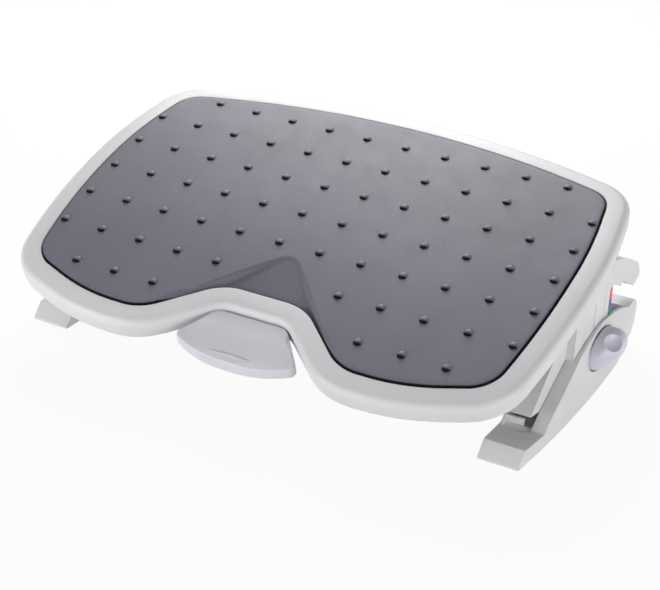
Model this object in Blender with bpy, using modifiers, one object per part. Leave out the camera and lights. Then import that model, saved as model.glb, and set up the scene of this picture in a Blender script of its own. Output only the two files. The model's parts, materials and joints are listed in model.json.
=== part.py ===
"""Ergonomic footrest: a crowned platform that tilts on a carriage, which lifts in two legs.

Frame: X runs along the width and is the plane of symmetry's normal, +Y points to the raised
back edge and +Z up. The origin is on the floor, under the middle of the whole part.
The script works in metres and uses three working frames:
  floor frame     y from the middle of the mat's dot grid, z from the floor
  platform frame  y and z from the middle of the dot grid, along and square to the tilted deck
  flat frame      the platform frame before the deck is bent to its crown
"""

import math

import bmesh
import bpy
from mathutils import Matrix, Vector

MM = 0.001

# Whole part
TILT = math.radians(16.2)
CLEARANCE = 0.3 * MM
OVERRUN = 2 * MM
BODY_SHIFT_Y = -8.9 * MM
ARC_STEP = math.radians(15)
LONGEST_EDGE = 46 * MM

# Platform outline, seen from above
HALF_WIDTH = 276.5 * MM
FRONT_REACH = 189 * MM
BACK_REACH = 193 * MM
NOTCH_DEPTH = 54.5 * MM
NOTCH_HALF_WIDTH = 35 * MM
NOTCH_FLARE = 62 * MM
# How much of its shorter side the curve of each corner takes
NOTCH_CURVE_SHARE = 0.162
LOBE_CURVE_SHARE = 0.363
# Shares of half width, of front or back reach, and of the shorter side for the curve
LOBE_SHARES = (0.622, 1.0, 0.53)
FRONT_CORNER_SHARES = (0.948, 0.83, 0.365)
SIDE_FRONT_SHARES = (1.0, 0.328, 0.628)
SIDE_BACK_SHARES = (1.0, 0.285, 0.451)
BACK_CORNER_SHARES = (0.933, 0.803, 0.325)
BACK_SHARES = (0.407, 1.0, 0.735)

# Tray: a moulded deck with a rolled rim, a skirt and ribs
CROWN_RADIUS = 1600 * MM
RIM_BAND = 21.5 * MM
RIM_ROUND = 7 * MM
RIM_FALL = 0.7 * MM
RIM_LIP = 1.5 * MM
SKIRT_DEPTH = 21 * MM
SKIRT_DRAFT = 1 * MM
DECK_WALL = 3 * MM
RIB_WALL = 2.4 * MM
RIB_DEPTH = 16.7 * MM
RIB_BITE = 1 * MM
RIBS_ALONG_Y_SHARES = (0.398, 0.658)
FRONT_RIB_GAP = 11 * MM
REAR_RIB_SHARE = 0.477

# Mat with its raised dots
MAT_THICKNESS = 4.5 * MM
MAT_PROUD = 1.5 * MM
MAT_GAP = 1 * MM
MAT_EDGE = 1.2 * MM
DOT_RADIUS = 4.5 * MM
DOT_HEIGHT = 2.3 * MM
DOT_SINK = 0.2 * MM
DOT_PITCH_X_SHARE = 0.15823
DOT_PITCH_Y_SHARE = 0.23847
# Which columns, counted outwards from the middle, each row holds, from the back row forward
DOT_ROWS = (
    (3, (0, 1, 2, 3, 4)),
    (2, (0, 1, 2, 3, 4, 5)),
    (1, (0, 1, 2, 3, 4, 5)),
    (0, (0, 1, 2, 3, 4, 5)),
    (-1, (0, 1, 2, 3, 4, 5)),
    (-2, (1, 2, 3, 4, 5)),
    (-3, (2, 3, 4)),
)

# Scoop: the sloping three-sided hollow in the mat behind the notch
SCOOP_START_SHARE = 0.2751
SCOOP_LENGTH_SHARE = 0.6508
SCOOP_WIDTH_SHARE = 0.387
SCOOP_FILLET = 22 * MM
SCOOP_DROP = 7 * MM
SCOOP_WALL = 2 * MM

# Tilt pivot
PIVOT_SETBACK = 24.3 * MM
SADDLE_DROP = 14.2 * MM
AXLE_RADIUS = 7 * MM
AXLE_WALL = 1.5 * MM
SADDLE_INSET = 86.5 * MM
SADDLE_WIDTH = 24 * MM
SADDLE_RADIUS = 12 * MM
SADDLE_FLANGE = 4 * MM
SADDLE_SCREW_SPACING = 36 * MM
SCREW_RADIUS = 1.5 * MM
SCREW_HEAD_RADIUS = 3.8 * MM
SCREW_HEAD = 2.4 * MM
SCREW_LENGTH = 13 * MM
BOSS_RADIUS = 5 * MM

# Legs
LEG_INSET = 11.5 * MM
LEG_WIDTH = 39.8 * MM
LEG_FOOT_BOW = 7.5 * MM
LEG_TOP_BOW = 1 * MM
LEG_FRONT_Y = -113 * MM
LEG_LENGTH = 292 * MM
LEG_HEIGHT = 71.4 * MM
LEG_WALL = 3 * MM
LEG_LIFT = 1.5 * MM
CHANNEL_FLOOR = 2.7 * MM
CHANNEL_FRONT_SHARE = 0.1473
CHANNEL_STEP_SHARE = 0.1986
CHANNEL_BACK_SHARE = 0.8836
SHELF_HEIGHT = 12.3 * MM
GUIDE_WALL = 3 * MM
# y share of leg length, z share of leg height, fillet share of leg height
LEG_PROFILE_SHARES = (
    (0.0, 0.0, 0.02),
    (0.05, 0.215, 0.03),
    (0.178, 0.186, 0.06),
    (0.232, 0.34, 0.2),
    (0.455, 0.79, 0.9),
    (0.647, 0.989, 1.5),
    (0.825, 0.835, 0.8),
    (0.9, 0.715, 0.25),
    (0.969, 0.715, 0.1),
    (1.0, 0.585, 0.08),
    (0.99, 0.3, 0.1),
    (0.95, 0.2, 0.2),
    (0.81, 0.0, 0.08),
)
PAD_RECESS = 1.2 * MM
PAD_WIDTH = 30 * MM
PAD_LENGTH = 32 * MM
PAD_FILLET = 5 * MM
FRONT_PAD_SHARE = 0.09
REAR_PAD_SHARE = 0.72
CROSS_TUBE_RADIUS = 9 * MM
CROSS_TUBE_WALL = 1.5 * MM
SOCKET_WALL = 3 * MM
SOCKET_DEPTH = 10 * MM
# y share of leg length and z share of leg height
CROSS_TUBE_SHARES = {"front": (0.32, 0.3), "rear": (0.83, 0.42)}

# Carriage: brackets, axle, stretcher and lock quadrants
HEIGHT_STEP = 6.35 * MM
STEPS_UP = 4
STEPS_DOWN = 2
BRACKET_THICKNESS = 10 * MM
BRACKET_SKIN = 2.5 * MM
BRACKET_RIB = 3 * MM
BRACKET_GAP = 0.5 * MM
BRACKET_BOSS = 13 * MM
PIVOT_RISE = 43 * MM
NOSE_RISE = 12.4 * MM
NOSE_WING = 13 * MM
NOSE_LENGTH = 37 * MM
# Places along the leg, as shares of its length from the front
NOSE_SHARE = 0.1678
PANEL_FRONT_SHARE = 0.4315
PIVOT_SHARE = 0.4966
GROOVE_SHARE = 0.5908
LATCH_SHARE = 0.6301
BRACKET_REAR_SHARE = 0.7414
# Lengths as shares of the leg's length
HOOK_REACH_SHARE = 0.2705
STRETCHER_SETBACK_SHARE = 0.1986
# Hook outline: y share of hook reach behind the bracket's rear edge, z share of pivot rise
HOOK_SHARES = (
    (0.082, 1.119, 0.5),
    (0.525, 0.793, 0.6),
    (0.905, 0.41, 0.4),
    (1.025, 0.014, 0.12),
    (0.797, -0.102, 0.05),
    (0.35, 0.374, 0.03),
    (0.304, 0.27, 0.02),
    (0.054, 0.498, 0.04),
)
# Shares of the bracket's length and of the pivot's rise
SHOULDER_SHARES = (0.37, 0.18)
FOOT_SHARE = 0.376
PANEL_RISE = 7.8 * MM
PANEL_SINK = 0.5 * MM
GROOVE_WIDTH = 2.2 * MM
GROOVE_DEPTH = 1.2 * MM
GROOVE_PITCH = 25 * MM
GROOVE_LENGTH = 26 * MM
LATCH_RISE = 24 * MM
LATCH_PIN_RADIUS = 3.2 * MM
LATCH_NECK_RADIUS = 1.6 * MM
LATCH_SLOT_WIDTH = 4 * MM
LATCH_PLAY = 0.4 * MM
SCALE_WIDTH = 6.5 * MM
SCALE_THICKNESS = 0.4 * MM
STRETCHER_RADIUS = 6 * MM
STRETCHER_DROP = 16 * MM
BOLT_RADIUS = 3.9 * MM
BOLT_HEAD_RADIUS = 7 * MM
BOLT_HEAD = 3 * MM
BOLT_GRIP = 14 * MM
QUADRANT_RADIUS = 36 * MM
QUADRANT_THICKNESS = 5 * MM
QUADRANT_HUB = 11 * MM
QUADRANT_X = 60 * MM
QUADRANT_FROM = math.radians(158)
QUADRANT_TO = math.radians(214)

# Height buttons
BUTTON_DROP = 29.1 * MM
BUTTON_HALF_LENGTH = 31.6 * MM
BUTTON_HALF_HEIGHT = 19.3 * MM
BUTTON_HEIGHT = 22.9 * MM
BUTTON_OUTSET = 2.8 * MM
BUTTON_LEAN_Y = 2.2 * MM
BUTTON_LEAN_Z = 5.8 * MM
BUTTON_TRAVEL = 3 * MM
BUTTON_GAP = 1.3 * MM
BUTTON_WALL = 2 * MM
BUTTON_BORE_DEPTH = 9 * MM
STEM_RADIUS = 10.5 * MM
STEM_DROP = 6 * MM
STEM_LENGTH = 6.8 * MM
LATCH_PLATE = 1.7 * MM
LATCH_PLATE_RADIUS = 11.5 * MM
DIMPLE_RADIUS = 15 * MM
DIMPLE_DEPTH = 3.8 * MM
# Where the dimple lies, as shares of the button's height, half length and half height
DIMPLE_SHARES = (0.67, -0.26, 0.87)
DIMPLE_FACING = (0.6, -0.5, 0.62)
# Height share above the base, size share and lean share of each ring of the button
BUTTON_RING_SHARES = (
    (0.0, 1.0, 0.0),
    (0.2, 0.96, 0.15),
    (0.45, 0.87, 0.5),
    (0.65, 0.74, 0.75),
    (0.8, 0.6, 0.9),
    (0.92, 0.45, 0.97),
    (1.0, 0.25, 1.0),
)
BUTTON_SPRING_RADIUS = 5.2 * MM
BUTTON_SPRING_WIRE = 1.1 * MM

# Pedal and tilt lock
PEDAL_DROP = 7.5 * MM
PEDAL_THICKNESS = 14.5 * MM
PEDAL_GAP = 2.5 * MM
PEDAL_EDGE = 2 * MM
PEDAL_WALL = 2.6 * MM
PEDAL_BACK_HALF = 36 * MM
PEDAL_FLARE = 29.5 * MM
PEDAL_LENGTH = 52.5 * MM
PEDAL_SWEEP = 16.5 * MM
PEDAL_BACK_FILLET = 14 * MM
PEDAL_CORNER_FILLET = 6 * MM
PEDAL_FRONT_RADIUS = 112 * MM
TREAD_RADIUS = 62 * MM
TREAD_DEPTH = 4.5 * MM
TREAD_SETBACK = 15 * MM
RIDGE_LENGTH = 27 * MM
RIDGE_WIDTH = 3.4 * MM
RIDGE_HEIGHT = 1.6 * MM
RIDGE_SETBACK = 7 * MM
ARM_X = 30 * MM
ARM_THICKNESS = 5 * MM
ARM_HUB = 5.5 * MM
HINGE_BEHIND_NOTCH = 22.5 * MM
HINGE_DEPTH = 32 * MM
HINGE_PIN_RADIUS = 3 * MM
EAR_THICKNESS = 5 * MM
EAR_GAP = 3.5 * MM
EAR_RADIUS = 6.5 * MM
RELEASE_BAR_RADIUS = 3 * MM
RELEASE_BAR_HALF = 70 * MM
RELEASE_BAR_RISE = 6 * MM
WEB_LENGTH = 14 * MM
WEB_THICKNESS = 2.6 * MM
PEDAL_SPRING_RADIUS = 6 * MM
PEDAL_SPRING_WIRE = 1.3 * MM
SPIGOT_HEIGHT = 4 * MM
LOCK_SHAFT_RADIUS = 4 * MM
LOCK_SHAFT_AHEAD = 52.3 * MM
LOCK_SHAFT_RISE = 13.9 * MM
LOCK_HUB = 7.5 * MM
CAM_THICKNESS = 8 * MM
CAM_TAIL = 20 * MM
CAM_TAIL_THICKNESS = 4.5 * MM
CAM_FROM = math.radians(184)
CAM_TO = math.radians(197)
CAM_BACK_SHARE = 0.55
LOCK_EAR_X = 80.5 * MM
LOCK_SPRING_RADIUS = 6.4 * MM
LOCK_SPRING_WIRE = 1.4 * MM

# Places that follow from the sizes above
DOT_PITCH_X = DOT_PITCH_X_SHARE * HALF_WIDTH
DOT_PITCH_Y = DOT_PITCH_Y_SHARE * min(FRONT_REACH, BACK_REACH)
SCOOP_START = SCOOP_START_SHARE * FRONT_REACH
SCOOP_LENGTH = SCOOP_LENGTH_SHARE * FRONT_REACH
SCOOP_HALF_WIDTH = SCOOP_WIDTH_SHARE * HALF_WIDTH
SADDLE_X = HALF_WIDTH - SADDLE_INSET
LEG_OUTER_X = HALF_WIDTH - LEG_INSET
LEG_INNER_X = LEG_OUTER_X - LEG_WIDTH
CHANNEL_FRONT_Y = LEG_FRONT_Y + CHANNEL_FRONT_SHARE * LEG_LENGTH
CHANNEL_STEP_Y = LEG_FRONT_Y + CHANNEL_STEP_SHARE * LEG_LENGTH
CHANNEL_BACK_Y = LEG_FRONT_Y + CHANNEL_BACK_SHARE * LEG_LENGTH
NOSE_Y = LEG_FRONT_Y + NOSE_SHARE * LEG_LENGTH
PANEL_FRONT_Y = LEG_FRONT_Y + PANEL_FRONT_SHARE * LEG_LENGTH
PIVOT_Y = LEG_FRONT_Y + PIVOT_SHARE * LEG_LENGTH
GROOVE_MIDDLE_Y = LEG_FRONT_Y + GROOVE_SHARE * LEG_LENGTH
LATCH_Y = LEG_FRONT_Y + LATCH_SHARE * LEG_LENGTH
BRACKET_REAR_Y = LEG_FRONT_Y + BRACKET_REAR_SHARE * LEG_LENGTH
HOOK_REACH = HOOK_REACH_SHARE * LEG_LENGTH
STRETCHER_SETBACK = STRETCHER_SETBACK_SHARE * LEG_LENGTH
PIVOT_Z = LEG_HEIGHT + PIVOT_RISE
PIVOT_DEPTH = RIB_DEPTH + SADDLE_DROP
RIM_TOP = -MAT_PROUD
RECESS_FLOOR = -MAT_THICKNESS - CLEARANCE
DECK_UNDER = RECESS_FLOOR - DECK_WALL
NOTCH_Y = NOTCH_DEPTH - FRONT_REACH
BRACKET_OUTER_X = LEG_OUTER_X - BRACKET_THICKNESS - BRACKET_GAP + CLEARANCE
BRACKET_INNER_X = BRACKET_OUTER_X - BRACKET_THICKNESS
CHANNEL_OUTER_X = BRACKET_OUTER_X + BRACKET_GAP
CHANNEL_INNER_X = LEG_INNER_X + LEG_WALL
HEIGHT_UP = STEPS_UP * HEIGHT_STEP
HEIGHT_DOWN = STEPS_DOWN * HEIGHT_STEP
BRACKET_BOTTOM = LEG_LIFT + CHANNEL_FLOOR + HEIGHT_DOWN + BRACKET_GAP
PANEL_OUTER_X = BRACKET_OUTER_X + PANEL_RISE
RABBET_X = PANEL_OUTER_X + BRACKET_GAP
BUTTON_BASE_X = LEG_OUTER_X + BUTTON_OUTSET
BUTTON_Z = LEG_HEIGHT - BUTTON_DROP
LATCH_Z = LEG_HEIGHT - LATCH_RISE
STEM_Z = LATCH_Z - STEM_DROP
HINGE_Y = NOTCH_Y + HINGE_BEHIND_NOTCH
RELEASE_Z = RELEASE_BAR_RISE - HINGE_DEPTH
LOCK_Y = PIVOT_SETBACK - LOCK_SHAFT_AHEAD
RELEASE_Y = LOCK_Y - CAM_TAIL + RELEASE_BAR_RADIUS
WEB_Y = (HINGE_Y + RELEASE_Y) / 2 + ARM_HUB
LOCK_Z = LOCK_SHAFT_RISE - PIVOT_DEPTH

# The exact solver loses bodies in the ribbed tray and among the mat's dots
WIDE_SOLVER = "MANIFOLD"

# Colours as linear red, green and blue, then roughness and metallic
FINISHES = {
    "light_grey_plastic": ((0.62, 0.64, 0.63), 0.45, 0.0),
    "leg_plastic": ((0.66, 0.67, 0.67), 0.5, 0.0),
    "pedal_plastic": ((0.56, 0.56, 0.60), 0.4, 0.0),
    "button_plastic": ((0.50, 0.50, 0.60), 0.35, 0.0),
    "mat_rubber": ((0.15, 0.14, 0.17), 0.85, 0.0),
    "pad_rubber": ((0.03, 0.03, 0.03), 0.9, 0.0),
    "zinc_steel": ((0.55, 0.56, 0.58), 0.35, 1.0),
    "spring_steel": ((0.40, 0.40, 0.42), 0.3, 1.0),
    "scale_label": ((0.85, 0.05, 0.06), 0.5, 0.0),
    "dark_plastic": ((0.05, 0.05, 0.055), 0.6, 0.0),
}


# Scene and materials


def clear_scene():
    for obj in list(bpy.data.objects):
        bpy.data.objects.remove(obj, do_unlink=True)


def new_collection(name):
    collection = bpy.data.collections.new(name)
    bpy.context.scene.collection.children.link(collection)
    return collection


def finish(name):
    """The named material, made once."""
    material = bpy.data.materials.get(name)
    if material is None:
        colour, roughness, metallic = FINISHES[name]
        material = bpy.data.materials.new(name)
        material.use_nodes = True
        shader = material.node_tree.nodes["Principled BSDF"]
        shader.inputs["Base Color"].default_value = (*colour, 1.0)
        shader.inputs["Roughness"].default_value = roughness
        shader.inputs["Metallic"].default_value = metallic
        material.diffuse_color = (*colour, 1.0)
    return material


# Mesh tools


def add_object(name, data):
    obj = bpy.data.objects.new(name, data)
    HELPERS.objects.link(obj)
    return obj


def object_from(name, shape):
    """An object that holds a bmesh, with its doubles merged and its faces turned outwards."""
    bmesh.ops.remove_doubles(shape, verts=shape.verts, dist=CLEARANCE / 100)
    bmesh.ops.recalc_face_normals(shape, faces=shape.faces)
    mesh = bpy.data.meshes.new(name)
    shape.to_mesh(mesh)
    shape.free()
    return add_object(name, mesh)


def bake(obj):
    """Replaces an object's data with its evaluated mesh, so that it can be cut or bent."""
    bpy.context.view_layer.update()
    graph = bpy.context.evaluated_depsgraph_get()
    mesh = bpy.data.meshes.new_from_object(obj.evaluated_get(graph))
    shape = bmesh.new()
    shape.from_mesh(mesh)
    bpy.data.meshes.remove(mesh)
    name = obj.name
    bpy.data.objects.remove(obj, do_unlink=True)
    return object_from(name, shape)


def combine(obj, others, operation, solver):
    """Joins, cuts or crosses an object with each of the others, which are used up."""
    for other in others:
        modifier = obj.modifiers.new(operation.lower(), "BOOLEAN")
        modifier.operation = operation
        modifier.solver = solver
        modifier.object = other
        obj = bake(obj)
        bpy.data.objects.remove(other, do_unlink=True)
    return obj


def join(obj, *others, solver="EXACT"):
    return combine(obj, others, "UNION", solver)


def cut(obj, *others, solver="EXACT"):
    return combine(obj, others, "DIFFERENCE", solver)


def cross(obj, *others, solver="EXACT"):
    return combine(obj, others, "INTERSECT", solver)


TURNS = {
    "X": Matrix(((0, 0, 1, 0), (1, 0, 0, 0), (0, 1, 0, 0), (0, 0, 0, 1))),
    "Y": Matrix(((0, 1, 0, 0), (0, 0, 1, 0), (1, 0, 0, 0), (0, 0, 0, 1))),
    "Z": Matrix.Identity(4),
}


def span(first, second):
    """The middle and the length of a stretch whose ends are given in either order."""
    return (first + second) / 2, abs(second - first)


def slab(name, outline, first, second, axis="Z"):
    """A flat outline, drawn as a filled 2D curve, as a solid between two places on an axis.

    The outline's pairs are (x, y) across Z, and (y, z) across X.
    """
    middle, length = span(first, second)
    curve = bpy.data.curves.new(name, "CURVE")
    curve.dimensions = "2D"
    curve.fill_mode = "BOTH"
    curve.extrude = length / 2
    spline = curve.splines.new("POLY")
    spline.points.add(len(outline) - 1)
    for point, (across, up) in zip(spline.points, outline):
        point.co = (across, up, 0, 1)
    spline.use_cyclic_u = True
    obj = bake(add_object(name, curve))
    obj.data.transform(TURNS[axis] @ Matrix.Translation((0, 0, middle)))
    return obj


def box(name, low, high):
    """A box between two corners, given in any order on each axis."""
    spans = [span(a, b) for a, b in zip(low, high)]
    shape = bmesh.new()
    bmesh.ops.create_cube(shape, size=1)
    bmesh.ops.scale(shape, vec=[length for _, length in spans], verts=shape.verts)
    bmesh.ops.translate(shape, vec=[middle for middle, _ in spans], verts=shape.verts)
    return object_from(name, shape)


def rod(name, centre, radius, first, second, axis="X", sides=20):
    """A round rod between two places on an axis. Its centre is given across that axis."""
    middle, length = span(first, second)
    shape = bmesh.new()
    bmesh.ops.create_cone(
        shape, cap_ends=True, segments=sides, radius1=radius, radius2=radius, depth=length
    )
    bmesh.ops.rotate(shape, matrix=Matrix.Rotation(math.pi / sides, 3, "Z"), verts=shape.verts)
    bmesh.ops.translate(shape, vec=(*centre, middle), verts=shape.verts)
    bmesh.ops.transform(shape, matrix=TURNS[axis], verts=shape.verts)
    return object_from(name, shape)


def ball(name, centre, size, sides=12, rings=8):
    """A sphere, or an ellipsoid with its three half lengths."""
    shape = bmesh.new()
    bmesh.ops.create_uvsphere(shape, u_segments=sides, v_segments=rings, radius=1)
    bmesh.ops.scale(shape, vec=size, verts=shape.verts)
    bmesh.ops.translate(shape, vec=centre, verts=shape.verts)
    return object_from(name, shape)


def turned(name, profile, centre, axis="X", sides=20, closed=False):
    """A turned piece: pairs of radius and place on the axis, swept by a Screw modifier."""
    mesh = bpy.data.meshes.new(name)
    points = [(radius, 0, along) for radius, along in profile]
    edges = [(i, i + 1) for i in range(len(points) - 1)]
    if closed:
        edges.append((len(points) - 1, 0))
    mesh.from_pydata(points, edges, [])
    obj = add_object(name, mesh)
    screw = obj.modifiers.new("turn", "SCREW")
    screw.steps = screw.render_steps = sides
    screw.use_merge_vertices = True
    screw.merge_threshold = CLEARANCE / 100
    obj = bake(obj)
    obj.data.transform(TURNS[axis] @ Matrix.Translation((*centre, 0)))
    return obj


def tube(name, centre, radius, wall, first, second, sides=20):
    """A round tube with open ends, lying along X."""
    inner = radius - wall
    profile = [(radius, second), (radius, first), (inner, first), (inner, second)]
    return turned(name, profile, centre, sides=sides, closed=True)


def wire(name, points, thickness):
    """A wire of round section through points, with filled ends."""
    curve = bpy.data.curves.new(name, "CURVE")
    curve.dimensions = "3D"
    curve.bevel_depth = thickness / 2
    curve.bevel_resolution = 1
    curve.use_fill_caps = True
    spline = curve.splines.new("POLY")
    spline.points.add(len(points) - 1)
    for point, place in zip(spline.points, points):
        point.co = (*place, 1)
    return bake(add_object(name, curve))


def coil_points(radius, first, second, turns, per_turn=10):
    """Points of a coil along Z, on the axis, from one place to the other."""
    count = round(turns * per_turn)
    points = []
    for i in range(count + 1):
        angle = 2 * math.pi * i / per_turn
        place = first + (second - first) * i / count
        points.append(Vector((radius * math.cos(angle), radius * math.sin(angle), place)))
    return points


def loft(name, rings):
    """A closed solid through rings of equal count, capped at both ends."""
    shape = bmesh.new()
    loops = [[shape.verts.new(point) for point in ring] for ring in rings]
    count = len(loops[0])
    for lower, upper in zip(loops, loops[1:]):
        for i in range(count):
            j = (i + 1) % count
            shape.faces.new((lower[i], lower[j], upper[j], upper[i]))
    shape.faces.new(loops[0])
    shape.faces.new(loops[-1])
    return object_from(name, shape)


def mirrored(side, outline):
    return [(side * x, y) for x, y in outline]


# Outlines with rounded corners


def rounded_outline(corners, inset=0):
    """Points round a closed outline of corners (x, y, fillet), given anticlockwise.

    Every corner's arc keeps its centre when the outline is inset, so outlines with different
    insets have matching points, and a loft can join them. A sharp corner isn't inset.
    """
    count = len(corners)
    points = []
    for i, (x, y, fillet) in enumerate(corners):
        here = Vector((x, y))
        if fillet == 0:
            points.append(here)
            continue
        before = (here - Vector(corners[i - 1][:2])).normalized()
        after = (Vector(corners[(i + 1) % count][:2]) - here).normalized()
        turn = math.atan2(before.cross(after), before.dot(after))
        side = 1 if turn > 0 else -1
        start = here - before * fillet * math.tan(abs(turn) / 2)
        centre = start + side * fillet * Vector((-before.y, before.x))
        spoke = (start - centre) * (fillet - side * inset) / fillet
        longest = fillet * abs(turn) / LONGEST_EDGE
        steps = max(1, math.ceil(abs(turn) / ARC_STEP), math.ceil(longest))
        for k in range(steps + 1):
            points.append(centre + Matrix.Rotation(turn * k / steps, 2) @ spoke)
    return [tuple(point) for point in points]


def with_fillets(corners):
    """Turns each corner's share of its shorter side into the radius of its curve."""
    count = len(corners)
    made = []
    for i, (x, y, share) in enumerate(corners):
        here = Vector((x, y))
        before = here - Vector(corners[i - 1][:2])
        after = Vector(corners[(i + 1) % count][:2]) - here
        turn = abs(math.atan2(before.cross(after), before.dot(after)))
        reach = share * min(before.length, after.length)
        made.append((x, y, reach / math.tan(turn / 2)))
    return made


def with_mirror(half):
    """A whole outline from the corners of its right half, front to back."""
    return list(half) + [(-x, y, fillet) for x, y, fillet in reversed(half)]


def platform_outline(inset=0):
    def corner(shares, reach):
        return (shares[0] * HALF_WIDTH, shares[1] * reach, shares[2])

    half = [
        (NOTCH_HALF_WIDTH, NOTCH_Y, NOTCH_CURVE_SHARE),
        (NOTCH_HALF_WIDTH + NOTCH_FLARE, -FRONT_REACH, LOBE_CURVE_SHARE),
        corner(LOBE_SHARES, -FRONT_REACH),
        corner(FRONT_CORNER_SHARES, -FRONT_REACH),
        corner(SIDE_FRONT_SHARES, -FRONT_REACH),
        corner(SIDE_BACK_SHARES, BACK_REACH),
        corner(BACK_CORNER_SHARES, BACK_REACH),
        corner(BACK_SHARES, BACK_REACH),
    ]
    return rounded_outline(with_fillets(with_mirror(half)), inset)


def ring_at(outline, z):
    return [(x, y, z) for x, y in outline]


# Crown: the deck is bent about X, in strips as wide as the dots' pitch


def crown_drop(y):
    """How far the crowned deck lies below its middle, straight within each strip."""
    strip = math.floor(y / DOT_PITCH_Y + 0.5)
    near = (strip - 0.5) * DOT_PITCH_Y
    far = (strip + 0.5) * DOT_PITCH_Y
    share = (y - near) / DOT_PITCH_Y
    drops = [place**2 / (2 * CROWN_RADIUS) for place in (near, far)]
    return drops[0] + (drops[1] - drops[0]) * share


def crowned(obj):
    """Cuts a flat solid into strips along X and bends it down towards the front and back."""
    shape = bmesh.new()
    shape.from_mesh(obj.data)
    bmesh.ops.triangulate(shape, faces=shape.faces)
    reach = max(FRONT_REACH, BACK_REACH)
    strips = math.ceil(reach / DOT_PITCH_Y)
    for k in range(-strips, strips + 1):
        place = (k + 0.5) * DOT_PITCH_Y
        everything = shape.verts[:] + shape.edges[:] + shape.faces[:]
        bmesh.ops.bisect_plane(
            shape, geom=everything, dist=CLEARANCE / 100, plane_co=(0, place, 0), plane_no=(0, 1, 0)
        )
    for vert in shape.verts:
        vert.co.z -= crown_drop(vert.co.y)
    name = obj.name
    bpy.data.objects.remove(obj, do_unlink=True)
    return object_from(name, shape)


# Platform


def scoop_floor(y, floor):
    """Height of the scoop's sloping floor, from its height at the start of the slope."""
    run = -NOTCH_Y - SCOOP_START - RIM_BAND
    return floor + SCOOP_DROP * (y + SCOOP_START) / run


def scoop_block(name, grow, top, floor):
    """The scoop's three-sided block: its top is level and its floor slopes down to the notch."""
    flare = math.atan2(SCOOP_HALF_WIDTH, SCOOP_LENGTH)
    tip = -SCOOP_START + grow / math.sin(flare)
    end = -SCOOP_START - SCOOP_LENGTH
    half = SCOOP_HALF_WIDTH + grow / math.cos(flare)
    outline = rounded_outline(
        [(half, end, 0), (0, tip, SCOOP_FILLET + grow), (-half, end, 0)]
    )
    block = slab(name, outline, floor - SCOOP_DROP * 3, top)
    bottom = floor - SCOOP_DROP * 3 - OVERRUN
    wedge_side = [
        (tip + OVERRUN, scoop_floor(tip + OVERRUN, floor)),
        (tip + OVERRUN, bottom),
        (end - OVERRUN, bottom),
        (end - OVERRUN, scoop_floor(end - OVERRUN, floor)),
    ]
    wedge = slab("wedge", wedge_side, -half - OVERRUN, half + OVERRUN, "X")
    return cut(block, wedge)


def rib_lattice():
    """The ribs under the deck, left standing when the bays between them are cut away."""
    seat = SKIRT_DRAFT + DECK_WALL - RIB_BITE
    under_band = RIM_TOP - RIM_FALL - DECK_WALL + RIB_BITE
    core = loft(
        "rib_core",
        [
            ring_at(platform_outline(seat), -RIB_DEPTH),
            ring_at(platform_outline(seat), RIM_TOP - RIM_FALL - RIM_ROUND),
            ring_at(platform_outline(RIM_ROUND), under_band),
            ring_at(platform_outline(RIM_BAND - DECK_WALL), under_band),
            ring_at(platform_outline(RIM_BAND - DECK_WALL + RIB_BITE), DECK_UNDER + RIB_BITE),
        ],
    )
    reach = HALF_WIDTH + OVERRUN
    ribs = [share * HALF_WIDTH for share in RIBS_ALONG_Y_SHARES]
    lines_x = sorted([-x for x in ribs] + ribs)
    lines_y = [
        -FRONT_REACH - OVERRUN,
        WEB_Y - FRONT_RIB_GAP,
        REAR_RIB_SHARE * BACK_REACH,
        BACK_REACH + OVERRUN,
    ]
    lines_x = [-reach, *lines_x, reach]
    shape = bmesh.new()
    for near, far in zip(lines_y, lines_y[1:]):
        for left, right in zip(lines_x, lines_x[1:]):
            centre = ((left + right) / 2, (near + far) / 2, -RIB_DEPTH / 2)
            size = (right - left - RIB_WALL, far - near - RIB_WALL, RIB_DEPTH + 2 * OVERRUN)
            made = bmesh.ops.create_cube(shape, size=1)["verts"]
            bmesh.ops.scale(shape, vec=size, verts=made)
            bmesh.ops.translate(shape, vec=centre, verts=made)
    bays = object_from("bays", shape)
    return cut(core, bays, solver=WIDE_SOLVER)


def ear(name, x, place, radius, top):
    """A hanging plate with a round lower end, centred on a place (y, z)."""
    y, z = place
    first = x - EAR_THICKNESS / 2
    second = x + EAR_THICKNESS / 2
    plate = box(name, (first, y - radius, z), (second, y + radius, top))
    end = rod("end", place, radius, first, second)
    return join(plate, end)


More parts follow.
